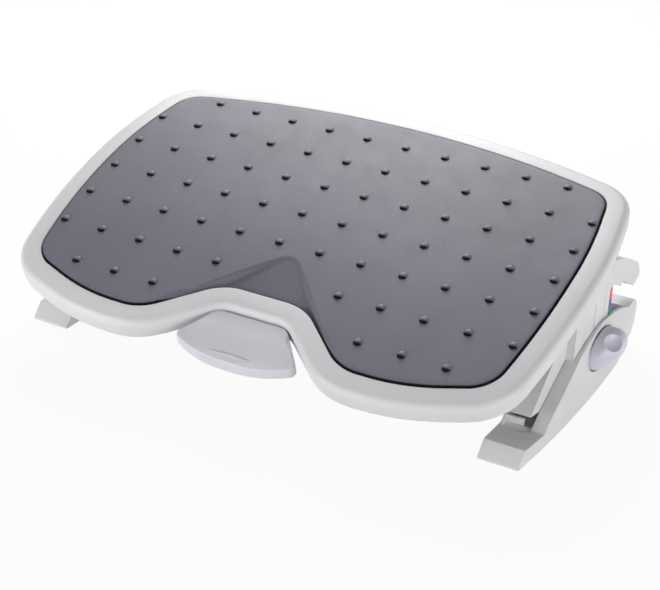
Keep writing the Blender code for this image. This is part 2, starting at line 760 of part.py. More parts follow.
def make_tray():
    lower_roll = RIM_TOP - RIM_FALL - RIM_ROUND
    inner = SKIRT_DRAFT + DECK_WALL
    under_band = RIM_TOP - RIM_FALL - DECK_WALL
    profile = [
        (RIM_BAND, RECESS_FLOOR),
        (RIM_BAND, RIM_TOP - RIM_LIP),
        (RIM_BAND - RIM_LIP, RIM_TOP),
        (RIM_ROUND, RIM_TOP - RIM_FALL),
    ]
    for angle in (math.radians(45), math.radians(90)):
        profile.append(
            (RIM_ROUND * (1 - math.sin(angle)), lower_roll + RIM_ROUND * math.cos(angle))
        )
    profile += [
        (SKIRT_DRAFT, -SKIRT_DEPTH),
        (inner, -SKIRT_DEPTH),
        (inner, lower_roll),
        (RIM_ROUND + RIB_BITE, under_band),
        (RIM_BAND - DECK_WALL, under_band),
        (RIM_BAND, DECK_UNDER),
    ]
    tray = loft(
        "platform_tray", [ring_at(platform_outline(inset), z) for inset, z in profile]
    )
    tray = join(tray, rib_lattice(), solver=WIDE_SOLVER)
    grow = SCOOP_WALL + MAT_GAP
    wall = scoop_block("scoop_wall", grow + DECK_WALL, under_band + RIB_BITE, DECK_UNDER)
    recess = platform_outline(RIM_BAND - DECK_WALL / 2)
    wall = cut(wall, slab("step", recess, RECESS_FLOOR - RIB_BITE / 2, OVERRUN))
    keep = slab("keep", platform_outline(inner - RIB_BITE), -RIB_DEPTH * 2, OVERRUN)
    tray = join(tray, cross(wall, keep), solver=WIDE_SOLVER)
    pocket = scoop_block("scoop_pocket", grow, RECESS_FLOOR + OVERRUN, RECESS_FLOOR)
    inside = slab("inside", platform_outline(RIM_BAND), -RIB_DEPTH * 2, RECESS_FLOOR + OVERRUN)
    tray = cut(tray, cross(pocket, inside), solver=WIDE_SOLVER)
    tray = crowned(tray)
    hinge = (HINGE_Y, -HINGE_DEPTH)
    lock = (LOCK_Y, LOCK_Z)
    ear_x = ARM_X + ARM_THICKNESS / 2 + EAR_GAP + EAR_THICKNESS / 2
    hinge_top = scoop_floor(HINGE_Y, DECK_UNDER) - crown_drop(HINGE_Y) + DECK_WALL / 2
    lock_top = DECK_UNDER - crown_drop(LOCK_Y) + RIB_BITE
    for side in (-1, 1):
        hinge_ear = ear("hinge_ear", side * ear_x, hinge, EAR_RADIUS, hinge_top)
        lock_ear = ear("lock_ear", side * LOCK_EAR_X, lock, EAR_RADIUS, lock_top)
        tray = join(tray, hinge_ear, lock_ear, solver=WIDE_SOLVER)
        for step in (-1, 1):
            centre = screw_place(side, step)
            bottom = -RIB_DEPTH - crown_drop(PIVOT_SETBACK)
            top = DECK_UNDER + RIB_BITE
            boss = rod("boss", centre, BOSS_RADIUS, bottom, top, "Z", 12)
            tray = join(tray, boss, solver=WIDE_SOLVER)
            pilot_radius = SCREW_RADIUS + CLEARANCE
            pilot = rod("pilot", centre, pilot_radius, bottom - OVERRUN, DECK_UNDER - OVERRUN, "Z", 8)
            tray = cut(tray, pilot, solver=WIDE_SOLVER)
    reach = HALF_WIDTH / 2
    tray = cut(
        tray,
        rod("hinge_bore", hinge, HINGE_PIN_RADIUS + CLEARANCE, -reach, reach),
        rod("lock_bore", lock, LOCK_SHAFT_RADIUS + CLEARANCE, -reach, reach),
        solver=WIDE_SOLVER,
    )
    return dress(tray, "light_grey_plastic", "platform")


def dot_places():
    for row, columns in DOT_ROWS:
        for column in columns:
            for side in (-1, 1):
                yield side * (column + 0.5) * DOT_PITCH_X, row * DOT_PITCH_Y


def make_mat():
    edge = RIM_BAND + MAT_GAP
    mat = loft(
        "foot_mat",
        [
            ring_at(platform_outline(edge), -MAT_THICKNESS),
            ring_at(platform_outline(edge), -MAT_EDGE),
            ring_at(platform_outline(edge + MAT_EDGE), 0),
        ],
    )
    tongue = scoop_block("tongue", SCOOP_WALL, -MAT_EDGE - DOT_SINK, -MAT_THICKNESS)
    inside = slab("inside", platform_outline(edge + CLEARANCE), -RIB_DEPTH * 2, 0)
    mat = join(mat, cross(tongue, inside))
    mat = crowned(cut(mat, scoop_block("hollow", 0, OVERRUN, 0)))
    dots = bmesh.new()
    for x, y in dot_places():
        made = bmesh.ops.create_uvsphere(dots, u_segments=6, v_segments=4, radius=1)["verts"]
        bmesh.ops.scale(dots, vec=(DOT_RADIUS, DOT_RADIUS, DOT_HEIGHT), verts=made)
        bmesh.ops.translate(dots, vec=(x, y, -DOT_SINK - crown_drop(y)), verts=made)
    mat = join(mat, object_from("dots", dots), solver=WIDE_SOLVER)
    return dress(mat, "mat_rubber", "platform")


def screw_place(side, step):
    """Where a saddle's front (-1) or rear (1) screw stands."""
    return side * (SADDLE_X + SADDLE_WIDTH / 2), PIVOT_SETBACK + step * SADDLE_SCREW_SPACING / 2


def make_saddle(side):
    """A bearing block that hangs the platform on the axle, and its two screws."""
    first = side * SADDLE_X
    second = side * (SADDLE_X + SADDLE_WIDTH)
    pivot = (PIVOT_SETBACK, -PIVOT_DEPTH)
    seat = -RIB_DEPTH - crown_drop(PIVOT_SETBACK) - CLEARANCE
    half = SADDLE_SCREW_SPACING / 2 + BOSS_RADIUS
    round_end = SADDLE_RADIUS - OVERRUN
    outline = rounded_outline(
        [
            (PIVOT_SETBACK - SADDLE_RADIUS, seat - SADDLE_FLANGE / 2, 0),
            (PIVOT_SETBACK - SADDLE_RADIUS, -PIVOT_DEPTH - SADDLE_RADIUS, round_end),
            (PIVOT_SETBACK + SADDLE_RADIUS, -PIVOT_DEPTH - SADDLE_RADIUS, round_end),
            (PIVOT_SETBACK + SADDLE_RADIUS, seat - SADDLE_FLANGE / 2, 0),
        ]
    )
    flange = box(
        "flange",
        (first, PIVOT_SETBACK - half, seat - SADDLE_FLANGE),
        (second, PIVOT_SETBACK + half, seat),
    )
    inset = side * OVERRUN / 2
    block = slab(side_name(side, "pivot_saddle"), outline, first + inset, second - inset, "X")
    saddle = join(block, flange)
    bore_ends = (first - side * OVERRUN, second + side * OVERRUN)
    saddle = cut(saddle, rod("bore", pivot, AXLE_RADIUS + CLEARANCE, *bore_ends, sides=24))
    hole_ends = (seat + OVERRUN, seat - SADDLE_FLANGE - OVERRUN)
    for step in (-1, 1):
        hole = rod("hole", screw_place(side, step), SCREW_RADIUS + CLEARANCE, *hole_ends, "Z", 8)
        saddle = cut(saddle, hole)
    dress(saddle, "dark_plastic", "platform")
    for step, word in ((-1, "front"), (1, "rear")):
        head_top = seat - SADDLE_FLANGE - CLEARANCE
        head_bottom = head_top - SCREW_HEAD
        profile = [
            (0, head_top + SCREW_LENGTH - SADDLE_FLANGE),
            (SCREW_RADIUS, head_top + SCREW_LENGTH - SADDLE_FLANGE),
            (SCREW_RADIUS, head_top),
            (SCREW_HEAD_RADIUS, head_top),
            (SCREW_HEAD_RADIUS, head_bottom + SCREW_HEAD / 3),
            (SCREW_HEAD_RADIUS - SCREW_HEAD / 3, head_bottom),
            (0, head_bottom),
        ]
        name = side_name(side, "saddle_screw_" + word)
        screw = turned(name, profile, screw_place(side, step), "Z", 8)
        dress(screw, "zinc_steel", "platform")


# Pedal and tilt lock, in the platform frame


def pedal_outline(inset=0):
    back = NOTCH_Y - PEDAL_GAP
    front = back - PEDAL_LENGTH
    wide = PEDAL_BACK_HALF + PEDAL_FLARE
    sweep = wide / 2
    half = [
        (sweep, front, PEDAL_FRONT_RADIUS),
        (wide, front + PEDAL_SWEEP, PEDAL_CORNER_FILLET),
        (PEDAL_BACK_HALF, back, PEDAL_BACK_FILLET),
    ]
    return rounded_outline(with_mirror(half), inset)


def make_pedal():
    top = -PEDAL_DROP
    bottom = top - PEDAL_THICKNESS
    pedal = loft(
        "foot_pedal",
        [
            ring_at(pedal_outline(PEDAL_EDGE / 2), bottom),
            ring_at(pedal_outline(), bottom + PEDAL_EDGE / 2),
            ring_at(pedal_outline(), top - PEDAL_EDGE),
            ring_at(pedal_outline(PEDAL_EDGE / 3), top - PEDAL_EDGE / 3),
            ring_at(pedal_outline(PEDAL_EDGE), top),
        ],
    )
    front = NOTCH_Y - PEDAL_GAP - PEDAL_LENGTH
    tread_y = front + TREAD_SETBACK
    wide = PEDAL_BACK_HALF + PEDAL_FLARE + OVERRUN
    tread_z = top - TREAD_DEPTH + TREAD_RADIUS
    tread = rod("tread", (tread_y, tread_z), TREAD_RADIUS, -wide, wide, sides=96)
    pedal = cut(pedal, tread)
    ridge_y = front + RIDGE_SETBACK
    ridge_z = tread_z - math.sqrt(TREAD_RADIUS**2 - (tread_y - ridge_y) ** 2)
    ridge = ball("ridge", (0, ridge_y, ridge_z), (RIDGE_LENGTH, RIDGE_WIDTH, RIDGE_HEIGHT), 20, 8)
    pedal = join(pedal, ridge)
    hollow_top = top - TREAD_DEPTH - PEDAL_WALL
    hollow = loft(
        "hollow",
        [
            ring_at(pedal_outline(PEDAL_WALL), bottom - OVERRUN),
            ring_at(pedal_outline(PEDAL_WALL + PEDAL_EDGE / 2), hollow_top),
        ],
    )
    pedal = crowned(cut(pedal, hollow))
    hinge = (HINGE_Y, -HINGE_DEPTH)
    release = (RELEASE_Y, RELEASE_Z)
    under_skirt = -SKIRT_DEPTH - crown_drop(NOTCH_Y) - 2 * PEDAL_EDGE / 3
    root_top = hollow_top - crown_drop(tread_y) + PEDAL_WALL / 2
    root_low = bottom - crown_drop(NOTCH_Y) - ARM_HUB
    step_y = NOTCH_Y - PEDAL_GAP - PEDAL_WALL
    shank = [
        (tread_y, root_top),
        (tread_y, root_low),
        (HINGE_Y, -HINGE_DEPTH - ARM_HUB),
        (RELEASE_Y, RELEASE_Z - ARM_HUB),
        (RELEASE_Y, RELEASE_Z + ARM_HUB),
        (HINGE_Y, -HINGE_DEPTH + ARM_HUB),
        (NOTCH_Y + inner_wall(), under_skirt),
        (step_y, under_skirt),
        (step_y, root_top),
    ]
    for side in (-1, 1):
        first = side * (ARM_X - ARM_THICKNESS / 2)
        second = side * (ARM_X + ARM_THICKNESS / 2)
        arm = slab("arm", shank, first, second, "X")
        arm = join(arm, rod("end", release, ARM_HUB, first, second))
        pedal = join(pedal, arm)
    web_z = web_height(WEB_Y)
    web = box(
        "web",
        (-ARM_X, WEB_Y - WEB_LENGTH / 2, web_z - WEB_THICKNESS),
        (ARM_X, WEB_Y + WEB_LENGTH / 2, web_z),
    )
    spigot_radius = PEDAL_SPRING_RADIUS - PEDAL_SPRING_WIRE
    spigot_ends = (web_z - WEB_THICKNESS / 2, web_z + SPIGOT_HEIGHT)
    spigot = rod("spigot", (0, WEB_Y), spigot_radius, *spigot_ends, "Z", 12)
    pedal = join(pedal, join(web, spigot))
    wide = ARM_X + ARM_THICKNESS
    pedal = cut(
        pedal,
        rod("hinge_bore", hinge, HINGE_PIN_RADIUS + CLEARANCE, -wide, wide),
        rod("bar_bore", release, RELEASE_BAR_RADIUS + CLEARANCE, -wide, wide),
    )
    dress(pedal, "pedal_plastic", "pedal")
    bar = rod("release_bar", release, RELEASE_BAR_RADIUS, -RELEASE_BAR_HALF, RELEASE_BAR_HALF, sides=16)
    dress(bar, "zinc_steel", "pedal")
    pin_half = ARM_X + ARM_THICKNESS / 2 + EAR_GAP + EAR_THICKNESS + OVERRUN
    pin = rod("pedal_hinge_pin", hinge, HINGE_PIN_RADIUS, -pin_half, pin_half, sides=16)
    dress(pin, "zinc_steel", "platform")
    coil_front = WEB_Y - PEDAL_SPRING_RADIUS - PEDAL_SPRING_WIRE
    deck = scoop_floor(coil_front, DECK_UNDER) - crown_drop(coil_front)
    low = web_z + CLEARANCE + PEDAL_SPRING_WIRE / 2
    high = deck - CLEARANCE - PEDAL_SPRING_WIRE / 2
    points = coil_points(PEDAL_SPRING_RADIUS, low, high, 4.5)
    spring = wire("pedal_spring", [p + Vector((0, WEB_Y, 0)) for p in points], PEDAL_SPRING_WIRE)
    dress(spring, "spring_steel", "platform")


def inner_wall():
    """How far the skirt's inner face lies inside the platform's outline."""
    return SKIRT_DRAFT + DECK_WALL


def web_height(y):
    """The middle of the pedal's arms at a place between the hinge and the release bar."""
    share = (y - HINGE_Y) / (RELEASE_Y - HINGE_Y)
    return -HINGE_DEPTH + (RELEASE_Z + HINGE_DEPTH) * share + ARM_HUB / 2


def arc(centre, radius, start, end, steps):
    return [
        (
            centre[0] + radius * math.cos(start + (end - start) * k / steps),
            centre[1] + radius * math.sin(start + (end - start) * k / steps),
        )
        for k in range(steps + 1)
    ]


def make_lock():
    """The lock shaft with a friction cam at each end, which grips the quadrants' edges."""
    lock = (LOCK_Y, LOCK_Z)
    pivot = (PIVOT_SETBACK, -PIVOT_DEPTH)
    grip = arc(pivot, QUADRANT_RADIUS + CLEARANCE, CAM_FROM, CAM_TO, 4)
    back = arc(pivot, QUADRANT_RADIUS + LOCK_HUB, CAM_TO, CAM_FROM, 2)
    tail_low = RELEASE_Z + RELEASE_BAR_RADIUS + CLEARANCE
    for side in (-1, 1):
        first = side * (QUADRANT_X - CAM_THICKNESS / 2)
        second = side * (QUADRANT_X + CAM_THICKNESS / 2)
        nose = slab(
            side_name(side, "lock_cam"),
            [
                *grip,
                back[0],
                (LOCK_Y - LOCK_HUB * CAM_BACK_SHARE, LOCK_Z - LOCK_HUB * CAM_BACK_SHARE),
                (LOCK_Y, LOCK_Z + LOCK_HUB * CAM_BACK_SHARE),
                (LOCK_Y + LOCK_HUB * CAM_BACK_SHARE, LOCK_Z + LOCK_HUB * CAM_BACK_SHARE / 2),
            ],
            first,
            second,
            "X",
        )
        hub = rod("hub", lock, LOCK_HUB, first, second)
        tail = box(
            "tail",
            (first, LOCK_Y - CAM_TAIL, tail_low),
            (second, LOCK_Y, tail_low + CAM_TAIL_THICKNESS),
        )
        cam = join(nose, hub, tail)
        bore_ends = (first - side * OVERRUN, second + side * OVERRUN)
        cam = cut(cam, rod("bore", lock, LOCK_SHAFT_RADIUS + CLEARANCE, *bore_ends))
        dress(cam, "dark_plastic", "lock")
    half = LOCK_EAR_X + EAR_THICKNESS / 2 + OVERRUN
    dress(rod("lock_shaft", lock, LOCK_SHAFT_RADIUS, -half, half, sides=16), "zinc_steel", "lock")
    turns = 4
    half = LOCK_SPRING_WIRE * (turns + 1) / 2
    coil = [
        Vector((p.z, LOCK_Y - p.x, LOCK_Z + p.y))
        for p in coil_points(LOCK_SPRING_RADIUS, -half, half, turns)
    ]
    bar_top = RELEASE_Z + RELEASE_BAR_RADIUS + CLEARANCE + LOCK_SPRING_WIRE / 2
    deck = DECK_UNDER - crown_drop(LOCK_Y) - CLEARANCE - LOCK_SPRING_WIRE / 2
    head = [
        Vector((-half, LOCK_Y - LOCK_SPRING_RADIUS * 2, deck)),
        Vector((-half, LOCK_Y - LOCK_SPRING_RADIUS, deck - LOCK_SPRING_WIRE)),
    ]
    tail = [
        Vector((half, LOCK_Y - LOCK_SPRING_RADIUS - LOCK_SPRING_WIRE, bar_top + LOCK_SPRING_WIRE)),
        Vector((half, RELEASE_Y - RELEASE_BAR_RADIUS / 2, bar_top)),
    ]
    spring = wire("lock_spring", head + coil + tail, LOCK_SPRING_WIRE)
    dress(spring, "spring_steel", "platform")


# Carriage, in the floor frame


def bracket_outline():
    """Side view of a bracket: nose, foot, scale edge, hook with its steps and pivot boss."""
    length = BRACKET_REAR_Y - NOSE_Y
    hook = [
        (BRACKET_REAR_Y + a * HOOK_REACH, LEG_HEIGHT + b * PIVOT_RISE, f * PIVOT_RISE)
        for a, b, f in HOOK_SHARES
    ]
    along, up = SHOULDER_SHARES
    corners = [
        (NOSE_Y, BRACKET_BOTTOM + NOSE_RISE, 0),
        (NOSE_Y + FOOT_SHARE * length, BRACKET_BOTTOM, 0),
        (BRACKET_REAR_Y, BRACKET_BOTTOM, 0),
        (BRACKET_REAR_Y, hook_root_z(), 0),
        *reversed(hook),
        (PIVOT_Y + BRACKET_BOSS, PIVOT_Z + BRACKET_BOSS, BRACKET_BOSS),
        (PIVOT_Y - BRACKET_BOSS, PIVOT_Z + BRACKET_BOSS, BRACKET_BOSS),
        (NOSE_Y + along * length, LEG_HEIGHT + up * PIVOT_RISE, BRACKET_BOSS),
    ]
    return rounded_outline(corners)


def leg_top(y):
    """Height of the leg's top edge at a place along the leg."""
    outline = leg_outline()
    heights = []
    for (y1, z1), (y2, z2) in zip(outline, outline[1:] + outline[:1]):
        if min(y1, y2) <= y <= max(y1, y2) and y1 != y2:
            heights.append(z1 + (z2 - z1) * (y - y1) / (y2 - y1))
    return max(heights)


def leg_top_line(sink, front, rear, steps=8):
    """A line that runs a little below the leg's top edge, from the front to the rear."""
    places = [front + (rear - front) * k / steps for k in range(steps + 1)]
    return [(y, leg_top(y) - sink) for y in places]


def below_panel():
    """Outline of the part of a bracket's side that lies deeper than its panel."""
    rear = CHANNEL_BACK_Y
    line = leg_top_line(PANEL_SINK, PANEL_FRONT_Y, rear)
    low = -OVERRUN
    high = PIVOT_Z * 2
    front = NOSE_Y * 2
    return [(front, low), (rear, low), *reversed(line), (PANEL_FRONT_Y, high), (front, high)]


def make_bracket(side):
    outer = side * BRACKET_OUTER_X
    inner = side * BRACKET_INNER_X
    face = side * PANEL_OUTER_X
    wing_inner = inner - side * NOSE_WING
    limit = NOSE_Y + NOSE_LENGTH
    bracket = slab("plate", bracket_outline(), wing_inner, face, "X")
    behind = box("behind", (0, limit, -OVERRUN), (inner, LEG_LENGTH, PIVOT_Z * 2))
    below = slab("below", below_panel(), outer, face + side * OVERRUN, "X")
    bracket = cut(bracket, behind, below, nose_hollow(side, limit))
    for pocket in bracket_pockets(side):
        bracket = cut(bracket, pocket)
    for cutter in latch_slot(side) + panel_grooves(side):
        bracket = cut(bracket, cutter)
    top = hook_root_z()
    scale_front = BRACKET_REAR_Y - SCALE_WIDTH
    scale_low = leg_top(scale_front) - PANEL_SINK
    recess = box(
        "recess",
        (face + side * OVERRUN, scale_front - CLEARANCE, scale_low - OVERRUN),
        (
            face - side * (SCALE_THICKNESS + CLEARANCE),
            BRACKET_REAR_Y + OVERRUN,
            top + CLEARANCE,
        ),
    )
    bolt_hole = rod(
        "bolt_hole",
        (PIVOT_Y, PIVOT_Z),
        BOLT_RADIUS + CLEARANCE,
        inner - side * OVERRUN,
        face + side * OVERRUN,
    )
    bracket = cut(bracket, recess, bolt_hole)
    bracket.name = side_name(side, "height_bracket")
    dress(bracket, "leg_plastic", "carriage")
    scale = box(
        side_name(side, "height_scale"),
        (face, scale_front, scale_low),
        (face - side * SCALE_THICKNESS, BRACKET_REAR_Y, top),
    )
    dress(scale, "scale_label", "carriage")
    head = PANEL_OUTER_X + CLEARANCE
    tip = BRACKET_INNER_X - BOLT_GRIP
    profile = [
        (0, head + BOLT_HEAD),
        (BOLT_HEAD_RADIUS - BOLT_HEAD / 2, head + BOLT_HEAD),
        (BOLT_HEAD_RADIUS, head + BOLT_HEAD / 2),
        (BOLT_HEAD_RADIUS, head),
        (BOLT_RADIUS, head),
        (BOLT_RADIUS, tip),
        (0, tip),
    ]
    bolt = turned(side_name(side, "axle_bolt"), profile, (PIVOT_Y, PIVOT_Z), sides=16)
    if side < 0:
        bolt = flipped(bolt)
    dress(bolt, "zinc_steel", "carriage")


def nose_roof(y):
    """Height of the underside of the nose's sloping front wall."""
    nose_z = BRACKET_BOTTOM + NOSE_RISE
    along, up = SHOULDER_SHARES
    run = along * (BRACKET_REAR_Y - NOSE_Y)
    slope = (LEG_HEIGHT + up * PIVOT_RISE - nose_z) / run
    return nose_z + slope * (y - NOSE_Y) - BRACKET_RIB * math.hypot(1, slope)


def nose_hollow(side, rear):
    """The hollow between the nose's sloping front wall and its rear wall, open below."""
    front = NOSE_Y + BRACKET_RIB * 1.5
    back = rear - BRACKET_RIB / 2
    outline = [
        (front, -OVERRUN),
        (back, -OVERRUN),
        (back, nose_roof(back)),
        (front, nose_roof(front)),
    ]
    first = side * (BRACKET_INNER_X - NOSE_WING * 2)
    return slab("hollow", outline, first, side * (BRACKET_OUTER_X - BRACKET_SKIN), "X")


def bracket_pockets(side):
    """Pockets from the inner side, which leave the outer skin, edge walls and upright ribs."""
    inner = side * (BRACKET_INNER_X - OVERRUN)
    floor = side * (BRACKET_OUTER_X - BRACKET_SKIN)
    panel_floor = side * (PANEL_OUTER_X - BRACKET_SKIN)
    half = 3 * LATCH_PIN_RADIUS
    nose_end = NOSE_Y + NOSE_LENGTH
    lines = [nose_end, PANEL_FRONT_Y, LATCH_Y - half, LATCH_Y + half, BRACKET_REAR_Y]
    low = BRACKET_BOTTOM + BRACKET_RIB
    pockets = []
    for near, far in zip(lines, lines[1:]):
        front = near + BRACKET_RIB / 2
        rear = far - BRACKET_RIB / 2
        if far == BRACKET_REAR_Y:
            rear -= BRACKET_RIB
        high = PIVOT_Z - BRACKET_BOSS - 2 * BRACKET_RIB - STRETCHER_RADIUS
        if near == nose_end:
            high = (LEG_HEIGHT + low) / 2
        bottom = -OVERRUN if near == LATCH_Y - half else low
        pockets.append(box("pocket", (inner, front, bottom), (floor, rear, high)))
        if near != nose_end:
            step = max(leg_top(front), leg_top(rear)) + BRACKET_RIB
            pockets.append(box("pocket", (inner, front, step), (panel_floor, rear, high)))
    return pockets


def latch_slot(side):
    """The slot with a lobe at every height, in which the latch pin sits."""
    outer = side * (BRACKET_OUTER_X + OVERRUN)
    floor = side * (BRACKET_OUTER_X - BRACKET_SKIN - OVERRUN)
    half = LATCH_SLOT_WIDTH / 2
    slot = box(
        "slot",
        (outer, LATCH_Y - half, LATCH_Z - HEIGHT_UP),
        (floor, LATCH_Y + half, LATCH_Z + HEIGHT_DOWN),
    )
    lobes = []
    for step in range(-STEPS_DOWN, STEPS_UP + 1):
        place = (LATCH_Y, LATCH_Z - step * HEIGHT_STEP)
        lobes.append(rod("lobe", place, LATCH_PIN_RADIUS + LATCH_PLAY, outer, floor, sides=12))
    return [slot, *lobes]


def panel_grooves(side):
    """The upright grooves in the panel. The middle one is the deepest."""
    face = side * (PANEL_OUTER_X + OVERRUN)
    grooves = []
    for k in (-1, 0, 1):
        y = GROOVE_MIDDLE_Y + k * GROOVE_PITCH
        width = GROOVE_WIDTH / (1 + abs(k))
        floor = side * (PANEL_OUTER_X - GROOVE_DEPTH / (1 + abs(k)))
        low = leg_top(y) - PANEL_SINK - OVERRUN
        high = leg_top(y) + GROOVE_LENGTH * (1 + k / 6)
        grooves.append(box("groove", (face, y - width / 2, low), (floor, y + width / 2, high)))
    return grooves


def hook_root_z():
    """Top of the height scale, just under the hook's root."""
    return LEG_HEIGHT + HOOK_SHARES[-1][1] * PIVOT_RISE


def flipped(obj):
    """The same piece on the other side of the middle."""
    obj.data.transform(Matrix.Scale(-1, 4, (1, 0, 0)))
    return bake(obj)


def make_carriage():
    for side in (-1, 1):
        make_bracket(side)
    reach = BRACKET_INNER_X - CLEARANCE
    pivot = (PIVOT_Y, PIVOT_Z)
    axle = tube("pivot_axle", pivot, AXLE_RADIUS, AXLE_WALL, -reach, reach, 24)
    dress(axle, "zinc_steel", "carriage")
    place = (PIVOT_Y + STRETCHER_SETBACK, PIVOT_Z - STRETCHER_DROP)
    stretcher = tube("carriage_stretcher", place, STRETCHER_RADIUS, AXLE_WALL, -reach, reach)
    dress(stretcher, "zinc_steel", "carriage")
    for side in (-1, 1):
        first = side * (QUADRANT_X - QUADRANT_THICKNESS / 2)
        second = side * (QUADRANT_X + QUADRANT_THICKNESS / 2)
        edge = arc(pivot, QUADRANT_RADIUS, QUADRANT_FROM + TILT, QUADRANT_TO + TILT, 12)
        outline = [pivot, *edge]
        quadrant = slab(side_name(side, "lock_quadrant"), outline, first, second, "X")
        hub_ends = (first - side * OVERRUN, second + side * OVERRUN)
        quadrant = join(quadrant, rod("hub", pivot, QUADRANT_HUB, *hub_ends, sides=24))
        bore_ends = (first - side * 2 * OVERRUN, second + side * 2 * OVERRUN)
        bore = rod("bore", pivot, AXLE_RADIUS + CLEARANCE, *bore_ends, sides=24)
        dress(cut(quadrant, bore), "zinc_steel", "carriage")


# Legs, in the floor frame


def leg_outline(inset=0):
    """Side view of a leg, from the toe along the floor, round the heel and over the hump."""
    corners = [
        (LEG_FRONT_Y + a * LEG_LENGTH, LEG_LIFT + b * (LEG_HEIGHT - LEG_LIFT), f * LEG_HEIGHT)
        for a, b, f in LEG_PROFILE_SHARES
    ]
    return rounded_outline(list(reversed(corners)), inset)


def tube_place(which):
    along, up = CROSS_TUBE_SHARES[which]
    return LEG_FRONT_Y + along * LEG_LENGTH, up * LEG_HEIGHT


def leg_plan(side, bow, z):
    """A ring of the leg's plan at one height. The outer side bows out between the ends."""
    middle = LEG_FRONT_Y + LEG_LENGTH / 2
    half = LEG_LENGTH / 2
    radius = (half**2 + bow**2) / (2 * bow)
    swing = math.asin(half / radius)
    centre = (LEG_OUTER_X + bow - radius, middle)
    curve = arc(centre, radius, -swing, swing, 12)
    far = LEG_INNER_X - OVERRUN
    front = middle - half - OVERRUN
    rear = middle + half + OVERRUN
    plan = [(far, front), (curve[0][0], front), *curve, (curve[-1][0], rear), (far, rear)]
    return ring_at(mirrored(side, plan), z)


def leg_channel(side):
    """The channel that the bracket slides in, with a higher shelf under the nose."""
    front = CHANNEL_FRONT_Y
    step = CHANNEL_STEP_Y
    rear = CHANNEL_BACK_Y
    shelf = LEG_LIFT + SHELF_HEIGHT
    floor = LEG_LIFT + CHANNEL_FLOOR
    outline = [
        (front, shelf),
        (step, shelf),
        (step, floor),
        (BRACKET_REAR_Y + BRACKET_RIB, floor),
        (rear, shelf + SHELF_HEIGHT),
        (rear, LEG_HEIGHT * 2),
        (front, LEG_HEIGHT * 2),
    ]
    return slab("channel", outline, side * CHANNEL_INNER_X, side * CHANNEL_OUTER_X, "X")


def make_leg(side):
    outside = side * (LEG_OUTER_X + LEG_FOOT_BOW + OVERRUN)
    leg = slab(side_name(side, "leg"), leg_outline(), side * LEG_INNER_X, outside, "X")
    plan = loft(
        "plan", [leg_plan(side, LEG_FOOT_BOW, 0), leg_plan(side, LEG_TOP_BOW, LEG_HEIGHT)]
    )
    leg = cut(cross(leg, plan), leg_channel(side))
    front = PANEL_FRONT_Y - BRACKET_GAP
    rear = CHANNEL_BACK_Y
    line = leg_top_line(PANEL_SINK + HEIGHT_DOWN + BRACKET_GAP, front, rear)
    zone = [*line, (rear, PIVOT_Z * 2), (front, PIVOT_Z * 2)]
    rabbet = slab("rabbet", zone, side * (CHANNEL_OUTER_X - OVERRUN), side * RABBET_X, "X")
    leg = cut(leg, rabbet)
    step = CHANNEL_STEP_Y
    floor = LEG_LIFT + CHANNEL_FLOOR
    upstand_top = nose_roof(step) - HEIGHT_DOWN - BRACKET_GAP
    walls = [(step, upstand_top, BRACKET_INNER_X + BRACKET_GAP)]
    for guide_y in (PIVOT_Y - LEG_HEIGHT / 2, LATCH_Y + LEG_HEIGHT / 4):
        walls.append((guide_y, LEG_HEIGHT / 2, BRACKET_INNER_X - BRACKET_GAP))
    for y, top, end in walls:
        start = CHANNEL_INNER_X - LEG_WALL / 2
        low = (side * start, y, floor - CHANNEL_FLOOR / 2)
        leg = join(leg, box("wall", low, (side * end, y + GUIDE_WALL, top)))
    for which in CROSS_TUBE_SHARES:
        place = tube_place(which)
        outer_end = side * (LEG_INNER_X - SOCKET_DEPTH)
        inner_end = side * (LEG_INNER_X + LEG_WALL / 2)
        socket = rod(
            "socket", place, CROSS_TUBE_RADIUS + SOCKET_WALL, outer_end, inner_end, sides=24
        )
        bore_radius = CROSS_TUBE_RADIUS + CLEARANCE
        bore = rod("bore", place, bore_radius, outer_end - side * OVERRUN, inner_end, sides=24)
        leg = cut(join(leg, socket), bore)
    stem = (LATCH_Y, STEM_Z)
    recess_floor = BUTTON_BASE_X - BUTTON_TRAVEL - CLEARANCE
    inside = side * (CHANNEL_OUTER_X - OVERRUN)
    plate_seat = side * (CHANNEL_OUTER_X + LATCH_PLATE + 2 * CLEARANCE)
    recess = loft(
        "recess",
        [
            button_ring(side * recess_floor, 1, 0, BUTTON_GAP),
            button_ring(side * (BUTTON_BASE_X + BUTTON_HEIGHT), 1, 0, BUTTON_GAP),
        ],
    )
    leg = cut(
        leg,
        recess,
        rod("stem_hole", stem, STEM_RADIUS + CLEARANCE, inside, side * BUTTON_BASE_X, sides=24),
        rod("seat", stem, LATCH_PLATE_RADIUS + CLEARANCE, inside, plate_seat, sides=24),
    )
    for share in (FRONT_PAD_SHARE, REAR_PAD_SHARE):
        outline = pad_outline(side, share, CLEARANCE)
        leg = cut(leg, slab("pad_recess", outline, -OVERRUN, LEG_LIFT + PAD_RECESS))
    dress(leg, "leg_plastic", "base")
    for share, word in ((FRONT_PAD_SHARE, "front"), (REAR_PAD_SHARE, "rear")):
        top = LEG_LIFT + PAD_RECESS - CLEARANCE
        pad = slab(side_name(side, "foot_pad_" + word), pad_outline(side, share), 0, top)
        dress(pad, "pad_rubber", "base")


